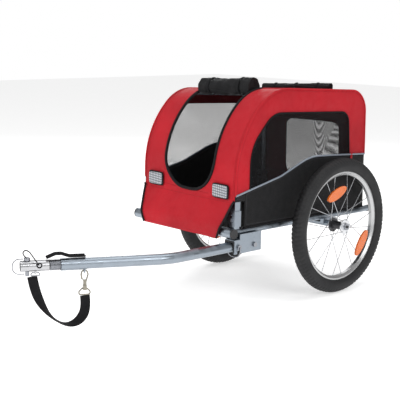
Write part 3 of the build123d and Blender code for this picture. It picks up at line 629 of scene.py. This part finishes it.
class TrailerStage(bpy.types.PropertyGroup):
    """Floor and light."""
    floor: colour_setting("Floor", "Colour of the floor", (0.92, 0.92, 0.92))
    ambient: number_setting("Ambient", "Strength of the light from all round", "FACTOR", 0.42, 0, 2)
    light: number_setting("Key light", "Strength of the main light", "POWER", 46.0, 0, 1000)


# ---------------------------------------------------------------- pieces
class TRAILER_OT_chassis(bpy.types.Operator):
    """Finishes the chassis, the brackets, the hoops and the floor"""
    bl_idname = "trailer.chassis"
    bl_label = "Chassis and hoops"

    def execute(self, context):
        dress("galvanised", "left_side_rail", "right_side_rail", "front_cross_tube", "rear_cross_tube",
              "axle_tube", "front_left_bracket", "front_right_bracket", "rear_left_bracket",
              "rear_right_bracket", "left_hoop", "right_hoop")
        dress("zinc", "frame_bolts", "left_lock_pins", "right_lock_pins")
        dress("black plastic", "frame_end_caps")
        dress("black cloth", "cabin_floor")
        return {"FINISHED"}


def tyre_grid(side):
    """Tyre: a circle round a circle about the axle, whose section radius is less by the tread's
    grooves; a groove is where a wave round the wheel or across the tread is low."""
    turns = np.linspace(0, 2 * pi, 541)[:, None]
    section = np.linspace(-pi, pi, 45)[None, :]
    depth = bpy.context.scene.trailer_metal.tread / MM
    stagger = np.where(section > 0, 0.0, pi)
    cross_cut = np.cos(TREAD_BLOCKS * turns + stagger + 2.2 * np.abs(section)) < -0.45
    ring_cut = (np.abs(section) < 0.09) | (np.abs(np.abs(section) - 0.52) < 0.06)
    tread = np.abs(section) < 1.0
    grooves = np.where(tread & (ring_cut | (cross_cut & (np.abs(section) > 0.12))), depth, 0.0)
    sidewall = np.where(tread, 0.0, 0.9 + 0.35 * np.cos(18 * section))
    radius = TYRE_SECTION_R - grooves - sidewall
    reach = TYRE_RING_R + radius * np.cos(section)
    offset = radius * np.sin(section)
    reach = np.where(np.abs(section) > 2.2, np.maximum(reach, TYRE_BEAD_R), reach)
    grid = np.stack([side * (WHEEL_X + offset) + 0 * turns,
                     AXLE_Y + reach * np.cos(turns), AXLE_Z + reach * np.sin(turns)], -1)
    return grid[:, ::-1] if side > 0 else grid


class TRAILER_OT_wheels(bpy.types.Operator):
    """Adds the treaded tyres and finishes rims, spokes, hubs and reflectors"""
    bl_idname = "trailer.wheels"
    bl_label = "Wheels"

    def execute(self, context):
        for side, hand in SIDES:
            tyre = mesh_of(f"{hand}_treaded_tyre", [tyre_grid(side)], "tyre rubber",
                           hems=False)
            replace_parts(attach(tyre, f"{hand}_wheel"), f"{hand}_tyre")
            dress("rim alloy", f"{hand}_rim")
            dress("spoke steel", f"{hand}_spokes")
            dress("hub", f"{hand}_hub")
            dress("zinc", f"{hand}_axle")
            dress("orange lens", f"{hand}_wheel_reflectors")
            dress("black plastic", f"{hand}_release_button")
        return {"FINISHED"}


# ---- the side walls' lines, as Y and Z ----
SKIRT_TOP = rounded_path([(AXLE_Y - 440, 310), (AXLE_Y - 395, 323), (AXLE_Y - 220, 361),
                          (AXLE_Y - 95, 408), (AXLE_Y + 200, 394)], [20, 150, 200])


def skirt_top(y):
    """Height of the lower panel's top line."""
    return np.interp(y, SKIRT_TOP[:, 0], SKIRT_TOP[:, 1])


def window_line():
    """The window's edge from the lower panel's line, up, back and down again."""
    ends = [(y, skirt_top(y)) for y in (WINDOW_FRONT_Y, WINDOW_REAR_Y)]
    corners = [(WINDOW_FRONT_Y, 450), (AXLE_Y - 258, 539), (AXLE_Y + 72, 527)]
    return rounded_path([ends[0], *corners, ends[1]], [120, 80, 34])


def upper_outline(side):
    """The side wall's own edge from the lower panel's line over the roof to the rear."""
    nest = 0 if side > 0 else NEST
    shoulder, roof_front, top, foot = outline_corners(nest)
    low_z = skirt_top(REAR_Y - nest)
    foot = np.array(foot)
    end = foot + (np.array(top) - foot) * (low_z - SKIRT_Z) / (top[1] - SKIRT_Z)
    start = (shoulder[0], skirt_top(shoulder[0]))
    return rounded_path([start, shoulder, roof_front, top, tuple(end)], corner_radii(nest))


def wall_grid(side, yz, lift=0.0):
    """A side wall's grid of Y and Z points, put in its plane."""
    x = np.full(yz.shape[:-1], side * (COVER_X + 2.5 + lift))
    return np.concatenate([x[..., None], yz], -1)


def between(first, second, steps):
    """Grid of straight lines from one curve to another."""
    share = np.linspace(0, 1, steps)[None, :, None]
    return first[:, None] * (1 - share) + second[:, None] * share


def wall_trim(side, name, yz, lift, radius, finish):
    """A round piping along a side wall's line of Y and Z points, lifted off its plane."""
    path = wall_grid(side, yz[:, None], lift)[:, 0]
    trim(name, [tube_grid(path, radius, (side, 0, 0))], finish)


def lower_grids(side, front, rear, nest, stand):
    """The lower panel's two grids: its long part, and the small part above the cut corner."""
    u = np.linspace(0, 1, 60)[:, None]
    v = np.linspace(0, 1, 18)[None, :]
    y = front + u * (rear - 5.0 * v - front)
    z = SKIRT_Z + v * (skirt_top(y) - SKIRT_Z)
    long_part = billow(faced_outward(wall_grid(side, np.stack([y, z], -1))), 0.7 * stand)
    v = np.linspace(0, 1, 5)[None, :]
    y = np.linspace(FRONT_Y + nest, front, 8)[:, None] + 0 * v
    z = 306 + v * (skirt_top(y) - 306)
    return [long_part, faced_outward(wall_grid(side, np.stack([y, z], -1)))]


class TRAILER_OT_side_walls(bpy.types.Operator):
    """Adds the side covers, net windows, lower panels and their piping"""
    bl_idname = "trailer.side_walls"
    bl_label = "Side walls"

    def execute(self, context):
        stand = context.scene.trailer_cabin.billow / MM
        for side, hand in SIDES:
            nest = 0 if side > 0 else NEST
            front, rear = max(AXLE_Y - 362, FRONT_Y + nest + 2), REAR_Y - nest
            window, edge = window_line(), upper_outline(side)
            upper = faced_outward(wall_grid(side, between(window, edge, 14)))
            cover = lined_cover(f"{hand}_cover_cloth", [billow(upper, stand)], f"{hand}_side_cover")
            base_y = np.linspace(WINDOW_FRONT_Y, WINDOW_REAR_Y, len(window))
            base = np.stack([base_y, skirt_top(base_y)], -1)
            net = faced_outward(wall_grid(side, between(base, window, 24), -1.0))
            mesh = net_window(f"{hand}_window_net", billow(net, -1.6 * stand), f"{hand}_window_mesh")
            grids = lower_grids(side, front, rear, nest, stand)
            lower = mesh_of(f"{hand}_lower_cloth", grids, "black cloth")
            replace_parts(fold_with_cabin(solidify(lower)), f"{hand}_lower_panel")
            wall_trim(side, f"{hand}_roof_seam", edge, 0.2, 2.3, "red cloth")
            wall_trim(side, f"{hand}_window_binding", window, 0.6, 2.2, "binding")
            y = np.linspace(FRONT_Y + nest + 1, rear - 5, 80)
            wall_trim(side, f"{hand}_reflective_piping", np.stack([y, skirt_top(y)], -1), 1.0, 2.6,
                      "reflective piping")
            u, v = np.meshgrid(np.linspace(0, 1, 6), np.linspace(0, 1, 8), indexing="ij")
            tongue_yz = np.stack([AXLE_Y + 87 + 9 * u + 2 * v,
                                  378 + 26 * v - 5 * np.sin(pi * u) * (1 - v)], -1)
            tongue = mesh_of(f"{hand}_cover_tongue", [faced_outward(wall_grid(side, tongue_yz, 3.4))],
                             "red cloth")
            fold_with_cabin(solidify(tongue, 1.2))
            y = np.linspace(0, 1, 40) * (rear - front) + front
            wall_trim(side, f"{hand}_lower_hem", np.stack([y, np.full_like(y, SKIRT_Z)], -1), 0.0, 2.0,
                      "binding")
        return {"FINISHED"}


def door_half(z):
    """Half the front opening's width at a height: a U with round lower corners."""
    drop = np.clip(DOOR_SILL_Z + DOOR_RADIUS - z, 0, DOOR_RADIUS)
    return DOOR_HALF - DOOR_RADIUS + np.sqrt(DOOR_RADIUS ** 2 - drop ** 2)


def cut_half(z):
    """Half the front cover's width at a height: full above the cut corners, less below."""
    share = np.clip((z - 202) / (CUT_TOP_Z - 202), 0, 1)
    return np.where(z >= CUT_TOP_Z, COVER_X, CUT_IN_X + share * (CUT_OUT_X - CUT_IN_X))


def door_edge(rows, side):
    """Where rows of the belt meet the front opening, found by three rounds of substitution."""
    x = side * door_half(belt(rows, 0.0 * rows)[..., 2])
    for _ in range(3):
        x = side * door_half(belt(rows, x)[..., 2])
    return x


def plate_grid(place, front, back, width, height):
    """A flat plate set along the front cover: an eighth-power ellipse that shrinks to a point at the
    middle of its front and of its back."""
    turn = np.linspace(0, 2 * pi, 49)[None, :]
    share = np.array((0, 0.3, 0.6, 0.9, 0.97, 1, 1, 0.97, 0.6, 0))[:, None]
    depth = np.array((0, 0, 0, 0, 0.06, 0.3, 0.8, 1, 1, 1))[:, None]
    across = share * width / 2 * np.sign(np.cos(turn)) * np.abs(np.cos(turn)) ** 0.25
    high = share * height / 2 * np.sign(np.sin(turn)) * np.abs(np.sin(turn)) ** 0.25
    deep = front + depth * (back - front) + 0 * turn
    lean = np.arctan2(NEST, 2 * COVER_X)
    return np.stack([place[0] + across * np.cos(lean) + deep * np.sin(lean),
                     place[1] - across * np.sin(lean) + deep * np.cos(lean), place[2] + high], -1)


class TRAILER_OT_front_cover(bpy.types.Operator):
    """Adds the front cover with its opening, piping, cut corners and reflectors"""
    bl_idname = "trailer.front_cover"
    bl_label = "Front cover"

    def execute(self, context):
        cabin = context.scene.trailer_cabin
        sill = row_where(1, DOOR_SILL_Z, True)
        cut = row_where(1, CUT_TOP_Z, True)
        seam = row_where(0, FRONT_SEAM_Y, True)
        cut_rows = np.linspace(0, cut, 26)
        half = cut_half(belt(cut_rows, 0.0 * cut_rows)[:, 2])[:, None]
        across = np.linspace(-1, 1, 41)[None, :]
        grids = [belt(cut_rows[:, None], half * across),
                 belt(np.linspace(cut, sill, 4)[:, None], COVER_X * across)]
        strip_rows = np.linspace(sill, seam, 70)
        edges = {}
        for side in (1, -1):
            inner = door_edge(strip_rows, side)
            share = np.linspace(0, 1, 14)[None, :]
            grids.append(belt(strip_rows[:, None], inner[:, None] * (1 - share) + side * COVER_X * share))
            edges[side] = belt(strip_rows, inner)
        grids = [faced_outward(grid) for grid in grids]
        cover = lined_cover("front_cover_cloth", grids, "front_cover", COARSE_MERGE)
        rim = np.concatenate([edges[1][::-1], edges[-1]])
        outward = rim - np.array((0.0, AXLE_Y - 110, 400.0))
        trim("door_piping", [tube_grid(rim, cabin.door_piping / MM, outward)],
             "binding")
        for side, hand in SIDES:
            rows = np.linspace(0.5, cut, 24)
            x = side * cut_half(belt(rows, 0 * rows)[:, 2])
            path = belt(rows, x) + np.array((0, -1.5, 0))
            trim(f"{hand}_corner_binding", [tube_grid(path, 3.0, (0, -1, 0.2))],
                 "binding")
            u, v = np.meshgrid(np.linspace(0, 1, 12), np.linspace(0, 1, 12), indexing="ij")
            z = 205 + 103 * v
            start = cut_half(z) - 8
            x = side * (start + u * (COVER_X - 1 - start))
            corner = np.stack([x, FRONT_Y + 16 + 12 * u, z], -1)
            gusset = mesh_of(f"{hand}_corner_gusset", [faced_outward(corner)],
                             "black cloth")
            fold_with_cabin(solidify(gusset, 1.0))
        lenses, backs = [], []
        for x in (REFLECTOR_X, -REFLECTOR_X):
            place = (x, FRONT_Y + NEST * (COVER_X - x) / (2 * COVER_X), REFLECTOR_Z)
            lenses.append(plate_grid(place, -8.6, -5.8, 60, 34))
            backs.append(plate_grid(place, -6.0, -2.9, 66, 40))
        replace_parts(trim("front_reflector_lenses", lenses, "clear lens"),
                    "front_reflectors")
        trim("front_reflector_backs", backs, "binding")
        return {"FINISHED"}


class TRAILER_OT_roof(bpy.types.Operator):
    """Adds the roof cover and its two seams"""
    bl_idname = "trailer.roof"
    bl_label = "Roof cover"

    def execute(self, context):
        first, last = row_where(0, FRONT_SEAM_Y, True), row_where(0, REAR_SEAM_Y, True)
        rows = np.linspace(first, last, 50)[:, None]
        across = np.linspace(-COVER_X, COVER_X, 44)[None, :]
        grid = billow(faced_outward(belt(rows, across)), -4.0)
        roof = lined_cover("roof_cloth", [grid], "roof_cover")
        x = np.linspace(-COVER_X, COVER_X, 40)
        for name, row in (("front_roof_seam", first), ("rear_roof_seam", last)):
            path = belt(np.full_like(x, row), x)
            trim(name, [tube_grid(path, 2.2, (0, 0, 1))], "red cloth")
        return {"FINISHED"}


def rear_half(z):
    """Half the rear window's width at a height: a rectangle with round corners."""
    low = np.clip(REAR_WINDOW_LOW + REAR_WINDOW_RADIUS - z, 0, REAR_WINDOW_RADIUS)
    high = np.clip(z - REAR_WINDOW_HIGH + REAR_WINDOW_RADIUS, 0, REAR_WINDOW_RADIUS)
    drop = np.maximum(low, high)
    return REAR_WINDOW_HALF - REAR_WINDOW_RADIUS + np.sqrt(REAR_WINDOW_RADIUS ** 2 - drop ** 2)


class TRAILER_OT_rear_cover(bpy.types.Operator):
    """Adds the rear cover, its net window and binding"""
    bl_idname = "trailer.rear_cover"
    bl_label = "Rear cover"

    def execute(self, context):
        seam = row_where(0, REAR_SEAM_Y, True)
        top, bottom = (row_where(1, z, False) for z in (REAR_WINDOW_HIGH, REAR_WINDOW_LOW))
        across = np.linspace(-COVER_X, COVER_X, 41)[None, :]
        grids = [belt(np.linspace(seam, top, 40)[:, None], across),
                 belt(np.linspace(bottom, ROWS - 1, 12)[:, None], across)]
        rows = np.linspace(top, bottom, 40)
        half = rear_half(belt(rows, 0 * rows)[:, 2])
        edges = {}
        for side in (1, -1):
            share = np.linspace(0, 1, 12)[None, :]
            grids.append(belt(rows[:, None], side * (half[:, None] * (1 - share) + COVER_X * share)))
            edges[side] = belt(rows, side * half)
        grids = [faced_outward(grid) for grid in grids]
        cover = lined_cover("rear_cover_cloth", grids, "rear_cover", COARSE_MERGE)
        flat = belt(rows[:, None], half[:, None] * np.linspace(-1, 1, 30)[None, :])
        net = billow(faced_outward(flat), -3.0)
        mesh = net_window("rear_window_net", net, "rear_window_mesh")
        loop = np.concatenate([edges[1], edges[-1][::-1], edges[1][:1]]) + np.array((0, 1.0, 0))
        trim("rear_window_binding", [tube_grid(loop, 2.4, (0, 1, 0), closed=True)],
             "binding")
        return {"FINISHED"}


def roll_grids(y, z_at, radius, half, lump, ties):
    """Rolled-up cloth: a cylinder whose radius has lumps from sines of its turn and place and
    narrows at its ties; each end is a disc whose layers step in like a spiral."""
    turn = np.linspace(0, 2 * pi, 49)[None, :]
    x = np.linspace(-half, half, 121)[:, None]
    pinch = sum(np.exp(-((x - tie) / 7.0) ** 2) for tie in ties)
    size = radius - 2 * lump - 0.12 * radius * pinch
    size = size + lump * np.sin(3 * turn + x / 31) + 0.6 * lump * np.sin(7 * turn - x / 17 + 1.0)
    size = size + 0.4 * lump * np.sin(x / 6.3 + 2 * turn)
    body = np.stack([x + 0 * turn, y + size * np.cos(turn), z_at(x) + size * np.sin(turn)], -1)
    grids = [body[:, ::-1]]
    for end in (0, -1):
        share = np.linspace(1, 0, 22)[:, None]
        rim = size[end][None, :]
        layer = np.mod(share * 5 + turn / (2 * pi), 1.0)
        step = (1 - share ** 8) * 2.2 * layer
        side = x[end, 0]
        inset = side - np.sign(side) * step
        disc = np.stack([inset + 0 * turn, y + share * rim * np.cos(turn),
                         z_at(np.array(side)) + share * rim * np.sin(turn)], -1)
        grids.append(disc[:, ::-1] if end == -1 else disc)
    return grids


def tie_grid(x, y, z, radius, width=9.0):
    """A flat band round a roll: a rounded rectangle carried round a circle."""
    turn = np.linspace(0, 2 * pi, 41)
    path = np.stack([np.full_like(turn, x), y + radius * np.cos(turn), z + radius * np.sin(turn)], -1)
    wide = np.broadcast_to(np.array((1.0, 0.0, 0.0)), path.shape)
    return ribbon_grid(path, wide, width, 1.4)[1:-1]


def toggle_grid(x, y, z, radius, length=15.0):
    """A barrel toggle: a profile of the fourth-power ellipse turned about a level line."""
    u = np.linspace(-1, 1, 15)[:, None]
    turn = np.linspace(0, 2 * pi, 17)[None, :]
    profile = radius * (1 - u ** 4) ** 0.5
    along = y + length / 2 * u + 0 * turn
    return np.stack([x + profile * np.cos(turn), along, z + profile * np.sin(turn)], -1)


class TRAILER_OT_rolls(bpy.types.Operator):
    """Adds the rolled-up front and rear covers, with their ties and toggles"""
    bl_idname = "trailer.rolls"
    bl_label = "Rolled covers"

    def execute(self, context):
        fall = NEST / (2 * COVER_X)
        rear_roof = ROOF_FRONT_Z + ROOF_SLOPE * (REAR_ROLL_Y - FRONT_Y - 133)
        kinds = (
            ("front_roll", ROLL_Y, lambda x: ROLL_Z - (ROLL_HALF - x) * fall,
             ROLL_R, ROLL_HALF, 1.3, (-62, 58), 3.0),
            ("rear_roll", REAR_ROLL_Y, lambda x: rear_roof + 10 - (COVER_X - x) * fall,
             REAR_ROLL_R, REAR_ROLL_HALF, 0.6, (-85, 0, 85), 2.4),
        )
        for node, y, z_at, radius, half, lump, ties, toggle_r in kinds:
            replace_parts(trim(f"{node}_cloth", roll_grids(y, z_at, radius, half, lump, ties),
                             "black cloth"), node)
            trim(f"{node}_ties", [tie_grid(x, y, z_at(x), 0.92 * radius) for x in ties],
                 "webbing")
            toggles = [toggle_grid(x, y + 2, z_at(x) + 0.9 * radius, toggle_r) for x in ties]
            trim(f"{node}_toggles", toggles, "black plastic")
        return {"FINISHED"}


def bend_between(piece):
    """Bakes a piece's place into its mesh."""
    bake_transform(piece)


class TRAILER_OT_tow_arm(bpy.types.Operator):
    """Finishes the tow arm and hitch, and adds the wound spring and its tether"""
    bl_idname = "trailer.tow_arm"
    bl_label = "Tow arm and hitch"

    def execute(self, context):
        dress("galvanised", "tow_arm", "tow_bracket", "arm_sleeve")
        dress("hitch aluminium", "coupler")
        dress("zinc", "lock_pin", "lock_bail", "hitch_pin", "hitch_bail", "strap_ring")
        dress("cast zinc", "snap_hook", "snap_gate", "strap_d_ring")
        # The liner is dressed black: a black piece fills the bracket's channel between the arm's top and
        # the bracket's top plate.
        dress("black plastic", "tow_bracket_liner")
        share = np.linspace(0, 1, SPRING_TURNS * 24 + 1)[:, None]
        angle = 2 * pi * SPRING_TURNS * share
        coil_r = ARM_R - SPRING_WIRE_R
        radial = np.cos(angle) * UP + np.sin(angle) * ACROSS
        start, end = FLEX_START + SPRING_WIRE_R, FLEX_END - SPRING_WIRE_R
        path = BEND + ALONG * (start + (end - start) * share) + coil_r * radial
        spring = mesh_of("wound_spring", [tube_grid(path, SPRING_WIRE_R, radial)], "zinc",
                         hems=False)
        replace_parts(spring, "flex_spring")
        bend_between(spring)
        route = [run_at(*place) for place in ((220, 17.0), (260, 17.4), (280, 24.5), (294, 24.5),
                                              (316, 15.8))]
        path = rounded_path(route, [25, 10, 14])
        wide = np.broadcast_to(ACROSS, path.shape)
        tether = mesh_of("flex_tether", [ribbon_grid(path, -wide, 20, 1.6, 6.0)], "webbing",
                         hems=False)
        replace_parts(tether, "tether_strap")
        bend_between(tether)
        return {"FINISHED"}


def smooth_line(name, points):
    """Points of a smooth spline of order three whose control points are the route's."""
    curve = bpy.data.curves.new(name, "CURVE")
    curve.dimensions = "3D"
    spline = curve.splines.new("NURBS")
    spline.points.add(len(points) - 1)
    flat = np.concatenate([np.array(points) * MM, np.ones((len(points), 1))], 1)
    spline.points.foreach_set("co", flat.ravel())
    spline.order_u = 3
    spline.use_endpoint_u = True
    spline.resolution_u = 16
    holder = bpy.data.objects.new(name, curve)
    bpy.context.collection.objects.link(holder)
    line = bpy.data.meshes.new_from_object(holder)
    co = np.empty(len(line.vertices) * 3)
    line.vertices.foreach_get("co", co)
    bpy.data.objects.remove(holder)
    return co.reshape(-1, 3) / MM


def hang(piece, line, node, diameter, lay, **more):
    """Puts a piece in place of a node, which it hides; the line in millimetres is not used."""
    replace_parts(piece, node)


class TRAILER_OT_straps(bpy.types.Operator):
    """Adds the hanging safety strap and the pin's lanyard"""
    bl_idname = "trailer.straps"
    bl_label = "Strap and lanyard"

    def execute(self, context):
        width = context.scene.trailer_metal.strap_width
        route = ((352, -26.5), (346, -62), (328, -103), (302, -138), (268, -158), (236, -149),
                 (217, -118), (221, -82))
        line = smooth_line("strap_line", [run_at(*place) for place in route])
        tangent = np.gradient(line, axis=0)
        in_plane = np.cross(tangent, ACROSS)
        in_plane /= np.linalg.norm(in_plane, axis=1, keepdims=True)
        place = np.linspace(0, 1, len(line))[:, None]
        twist = np.sin(pi * place) ** 2 * pi / 2
        wide = np.cos(twist) * in_plane + np.sin(twist) * ACROSS
        strap = mesh_of("hanging_strap", [ribbon_grid(line, wide, width / MM, 2.0)], "webbing",
                        hems=False)
        hang(strap, line, "safety_strap", width, "hanging")
        bend_between(strap)
        route = ((367, 22.4, 4), (376, 31, 4.5), (371, 42, 5), (360, 39, 6), (352, 27, 9),
                 (344, 15, 15.5), (337, 5, 18.8))
        line = smooth_line("lanyard_line", [run_at(*place) for place in route])
        lanyard = mesh_of("pin_lanyard_cord", [tube_grid(line, 1.5, ACROSS)], "webbing",
                          hems=False)
        turn = np.linspace(0, 2 * pi, 33)[:, None]
        loop = run_at(336, 4, ARM_R + 2.6) + 5.6 * (np.cos(turn) * ALONG + np.sin(turn) * UP)
        eyelet = mesh_of("lanyard_eyelet", [tube_grid(loop, 1.7, ACROSS, closed=True)], "webbing",
                         hems=False)
        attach(eyelet, HITCH)
        hang(lanyard, line, "pin_lanyard", 0.003, "loose", with_pieces=[eyelet])
        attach(lanyard, HITCH)
        return {"FINISHED"}


def aim(thing, place, target):
    """Puts a lamp at a place and turns it towards a target."""
    thing.location = place
    thing.rotation_euler = (Vector(target) - Vector(place)).to_track_quat("-Z", "Y").to_euler()


class TRAILER_OT_stage(bpy.types.Operator):
    """Adds the pale floor, soft lights, world and camera"""
    bl_idname = "trailer.stage"
    bl_label = "Studio"

    def execute(self, context):
        scene, look = context.scene, context.scene.trailer_stage
        u = np.linspace(-9000, 9000, 3)
        x, y = np.meshgrid(u, u, indexing="ij")
        n = Nodes("studio floor")
        n.finish(Base_Color=rgba(look.floor), Roughness=0.8, Specular_IOR_Level=0.1,
                 Emission_Color=(1, 1, 1, 1), Emission_Strength=0.5,
                 Normal=n.bump(n.noise(n.place(), 40.0), 0.0005, 0.1))
        FINISHES["studio floor"] = n.material
        floor = mesh_of("studio_floor", [np.stack([x, y, 0 * x], -1)], "studio floor",
                        hems=False)
        lamps = (("key", (-0.8, -2.6, 2.6), 1.0, 2.0), ("side", (2.8, -0.6, 1.8), 0.7, 1.8),
                 ("top", (0.2, 0.4, 3.2), 0.6, 2.4), ("back", (-2.4, 2.2, 1.8), 0.4, 1.6))
        for name, place, share, size in lamps:
            light = bpy.data.lights.new(name, "AREA")
            light.energy, light.size, light.shape = share * look.light, size, "DISK"
            lamp = bpy.data.objects.new(name, light)
            scene.collection.objects.link(lamp)
            aim(lamp, place, (0, 0.15, 0.3))
        world = bpy.data.worlds.new("studio")
        world.use_nodes = True
        tree, backdrop = world.node_tree, world.node_tree.nodes["Background"]
        backdrop.inputs[0].default_value = (1, 1, 1, 1)
        seen = tree.nodes.new("ShaderNodeLightPath").outputs["Is Camera Ray"]
        strength = tree.nodes.new("ShaderNodeMapRange")
        strength.inputs[3].default_value, strength.inputs[4].default_value = look.ambient, 1.0
        tree.links.new(seen, strength.inputs[0])
        tree.links.new(strength.outputs[0], backdrop.inputs[1])
        scene.world = world
        scene.view_settings.view_transform = "Standard"
        lens = bpy.data.cameras.new("camera")
        lens.lens, lens.sensor_width, lens.clip_end = 89.94, 36.0, 60.0
        camera = bpy.data.objects.new("camera", lens)
        scene.collection.objects.link(camera)
        azimuth, elevation, roll = (radians(angle) for angle in (46.14, 10.08, 1.14))
        back = Vector((sin(azimuth) * cos(elevation), -cos(azimuth) * cos(elevation), sin(elevation)))
        right = (-back).cross(Vector((0, 0, 1))).normalized()
        up = right.cross(-back)
        turned_right = right * cos(roll) + up * sin(roll)
        turned_up = -right * sin(roll) + up * cos(roll)
        matrix = Matrix((turned_right, turned_up, back)).transposed().to_4x4()
        matrix.translation = Vector((2.03124, -2.29173 + AXLE_Y * MM, 0.77952))
        camera.matrix_world = matrix
        scene.camera = camera
        return {"FINISHED"}


OPERATORS = (TRAILER_OT_chassis, TRAILER_OT_wheels, TRAILER_OT_side_walls, TRAILER_OT_front_cover,
             TRAILER_OT_roof, TRAILER_OT_rear_cover, TRAILER_OT_rolls, TRAILER_OT_tow_arm,
             TRAILER_OT_straps, TRAILER_OT_stage)
GROUPS = {"trailer_cabin": TrailerCabin, "trailer_metal": TrailerMetal, "trailer_stage": TrailerStage}


class TRAILER_PT_panel(bpy.types.Panel):
    """Lists the trailer's settings and steps"""
    bl_idname = "TRAILER_PT_panel"
    bl_label = "Pet trailer"
    bl_space_type = "VIEW_3D"
    bl_region_type = "UI"
    bl_category = "Trailer"

    def draw(self, context):
        for name, group in GROUPS.items():
            box = self.layout.box()
            for setting in group.__annotations__:
                box.prop(getattr(context.scene, name), setting)
        for operator in OPERATORS:
            self.layout.operator(operator.bl_idname)


def register():
    """Registers the settings, the steps and the panel."""
    for name, group in GROUPS.items():
        bpy.utils.register_class(group)
        setattr(bpy.types.Scene, name, bpy.props.PointerProperty(type=group))
    for item in (*OPERATORS, TRAILER_PT_panel):
        bpy.utils.register_class(item)


def unregister():
    """Takes them away again."""
    for item in (TRAILER_PT_panel, *reversed(OPERATORS)):
        bpy.utils.unregister_class(item)
    for name, group in GROUPS.items():
        delattr(bpy.types.Scene, name)
        bpy.utils.unregister_class(group)


def main():
    """Registers the steps and builds every piece in order."""
    register()
    for operator in OPERATORS:
        group, name = operator.bl_idname.split(".")
        getattr(getattr(bpy.ops, group), name)()


if __name__ == "__main__":
    main()
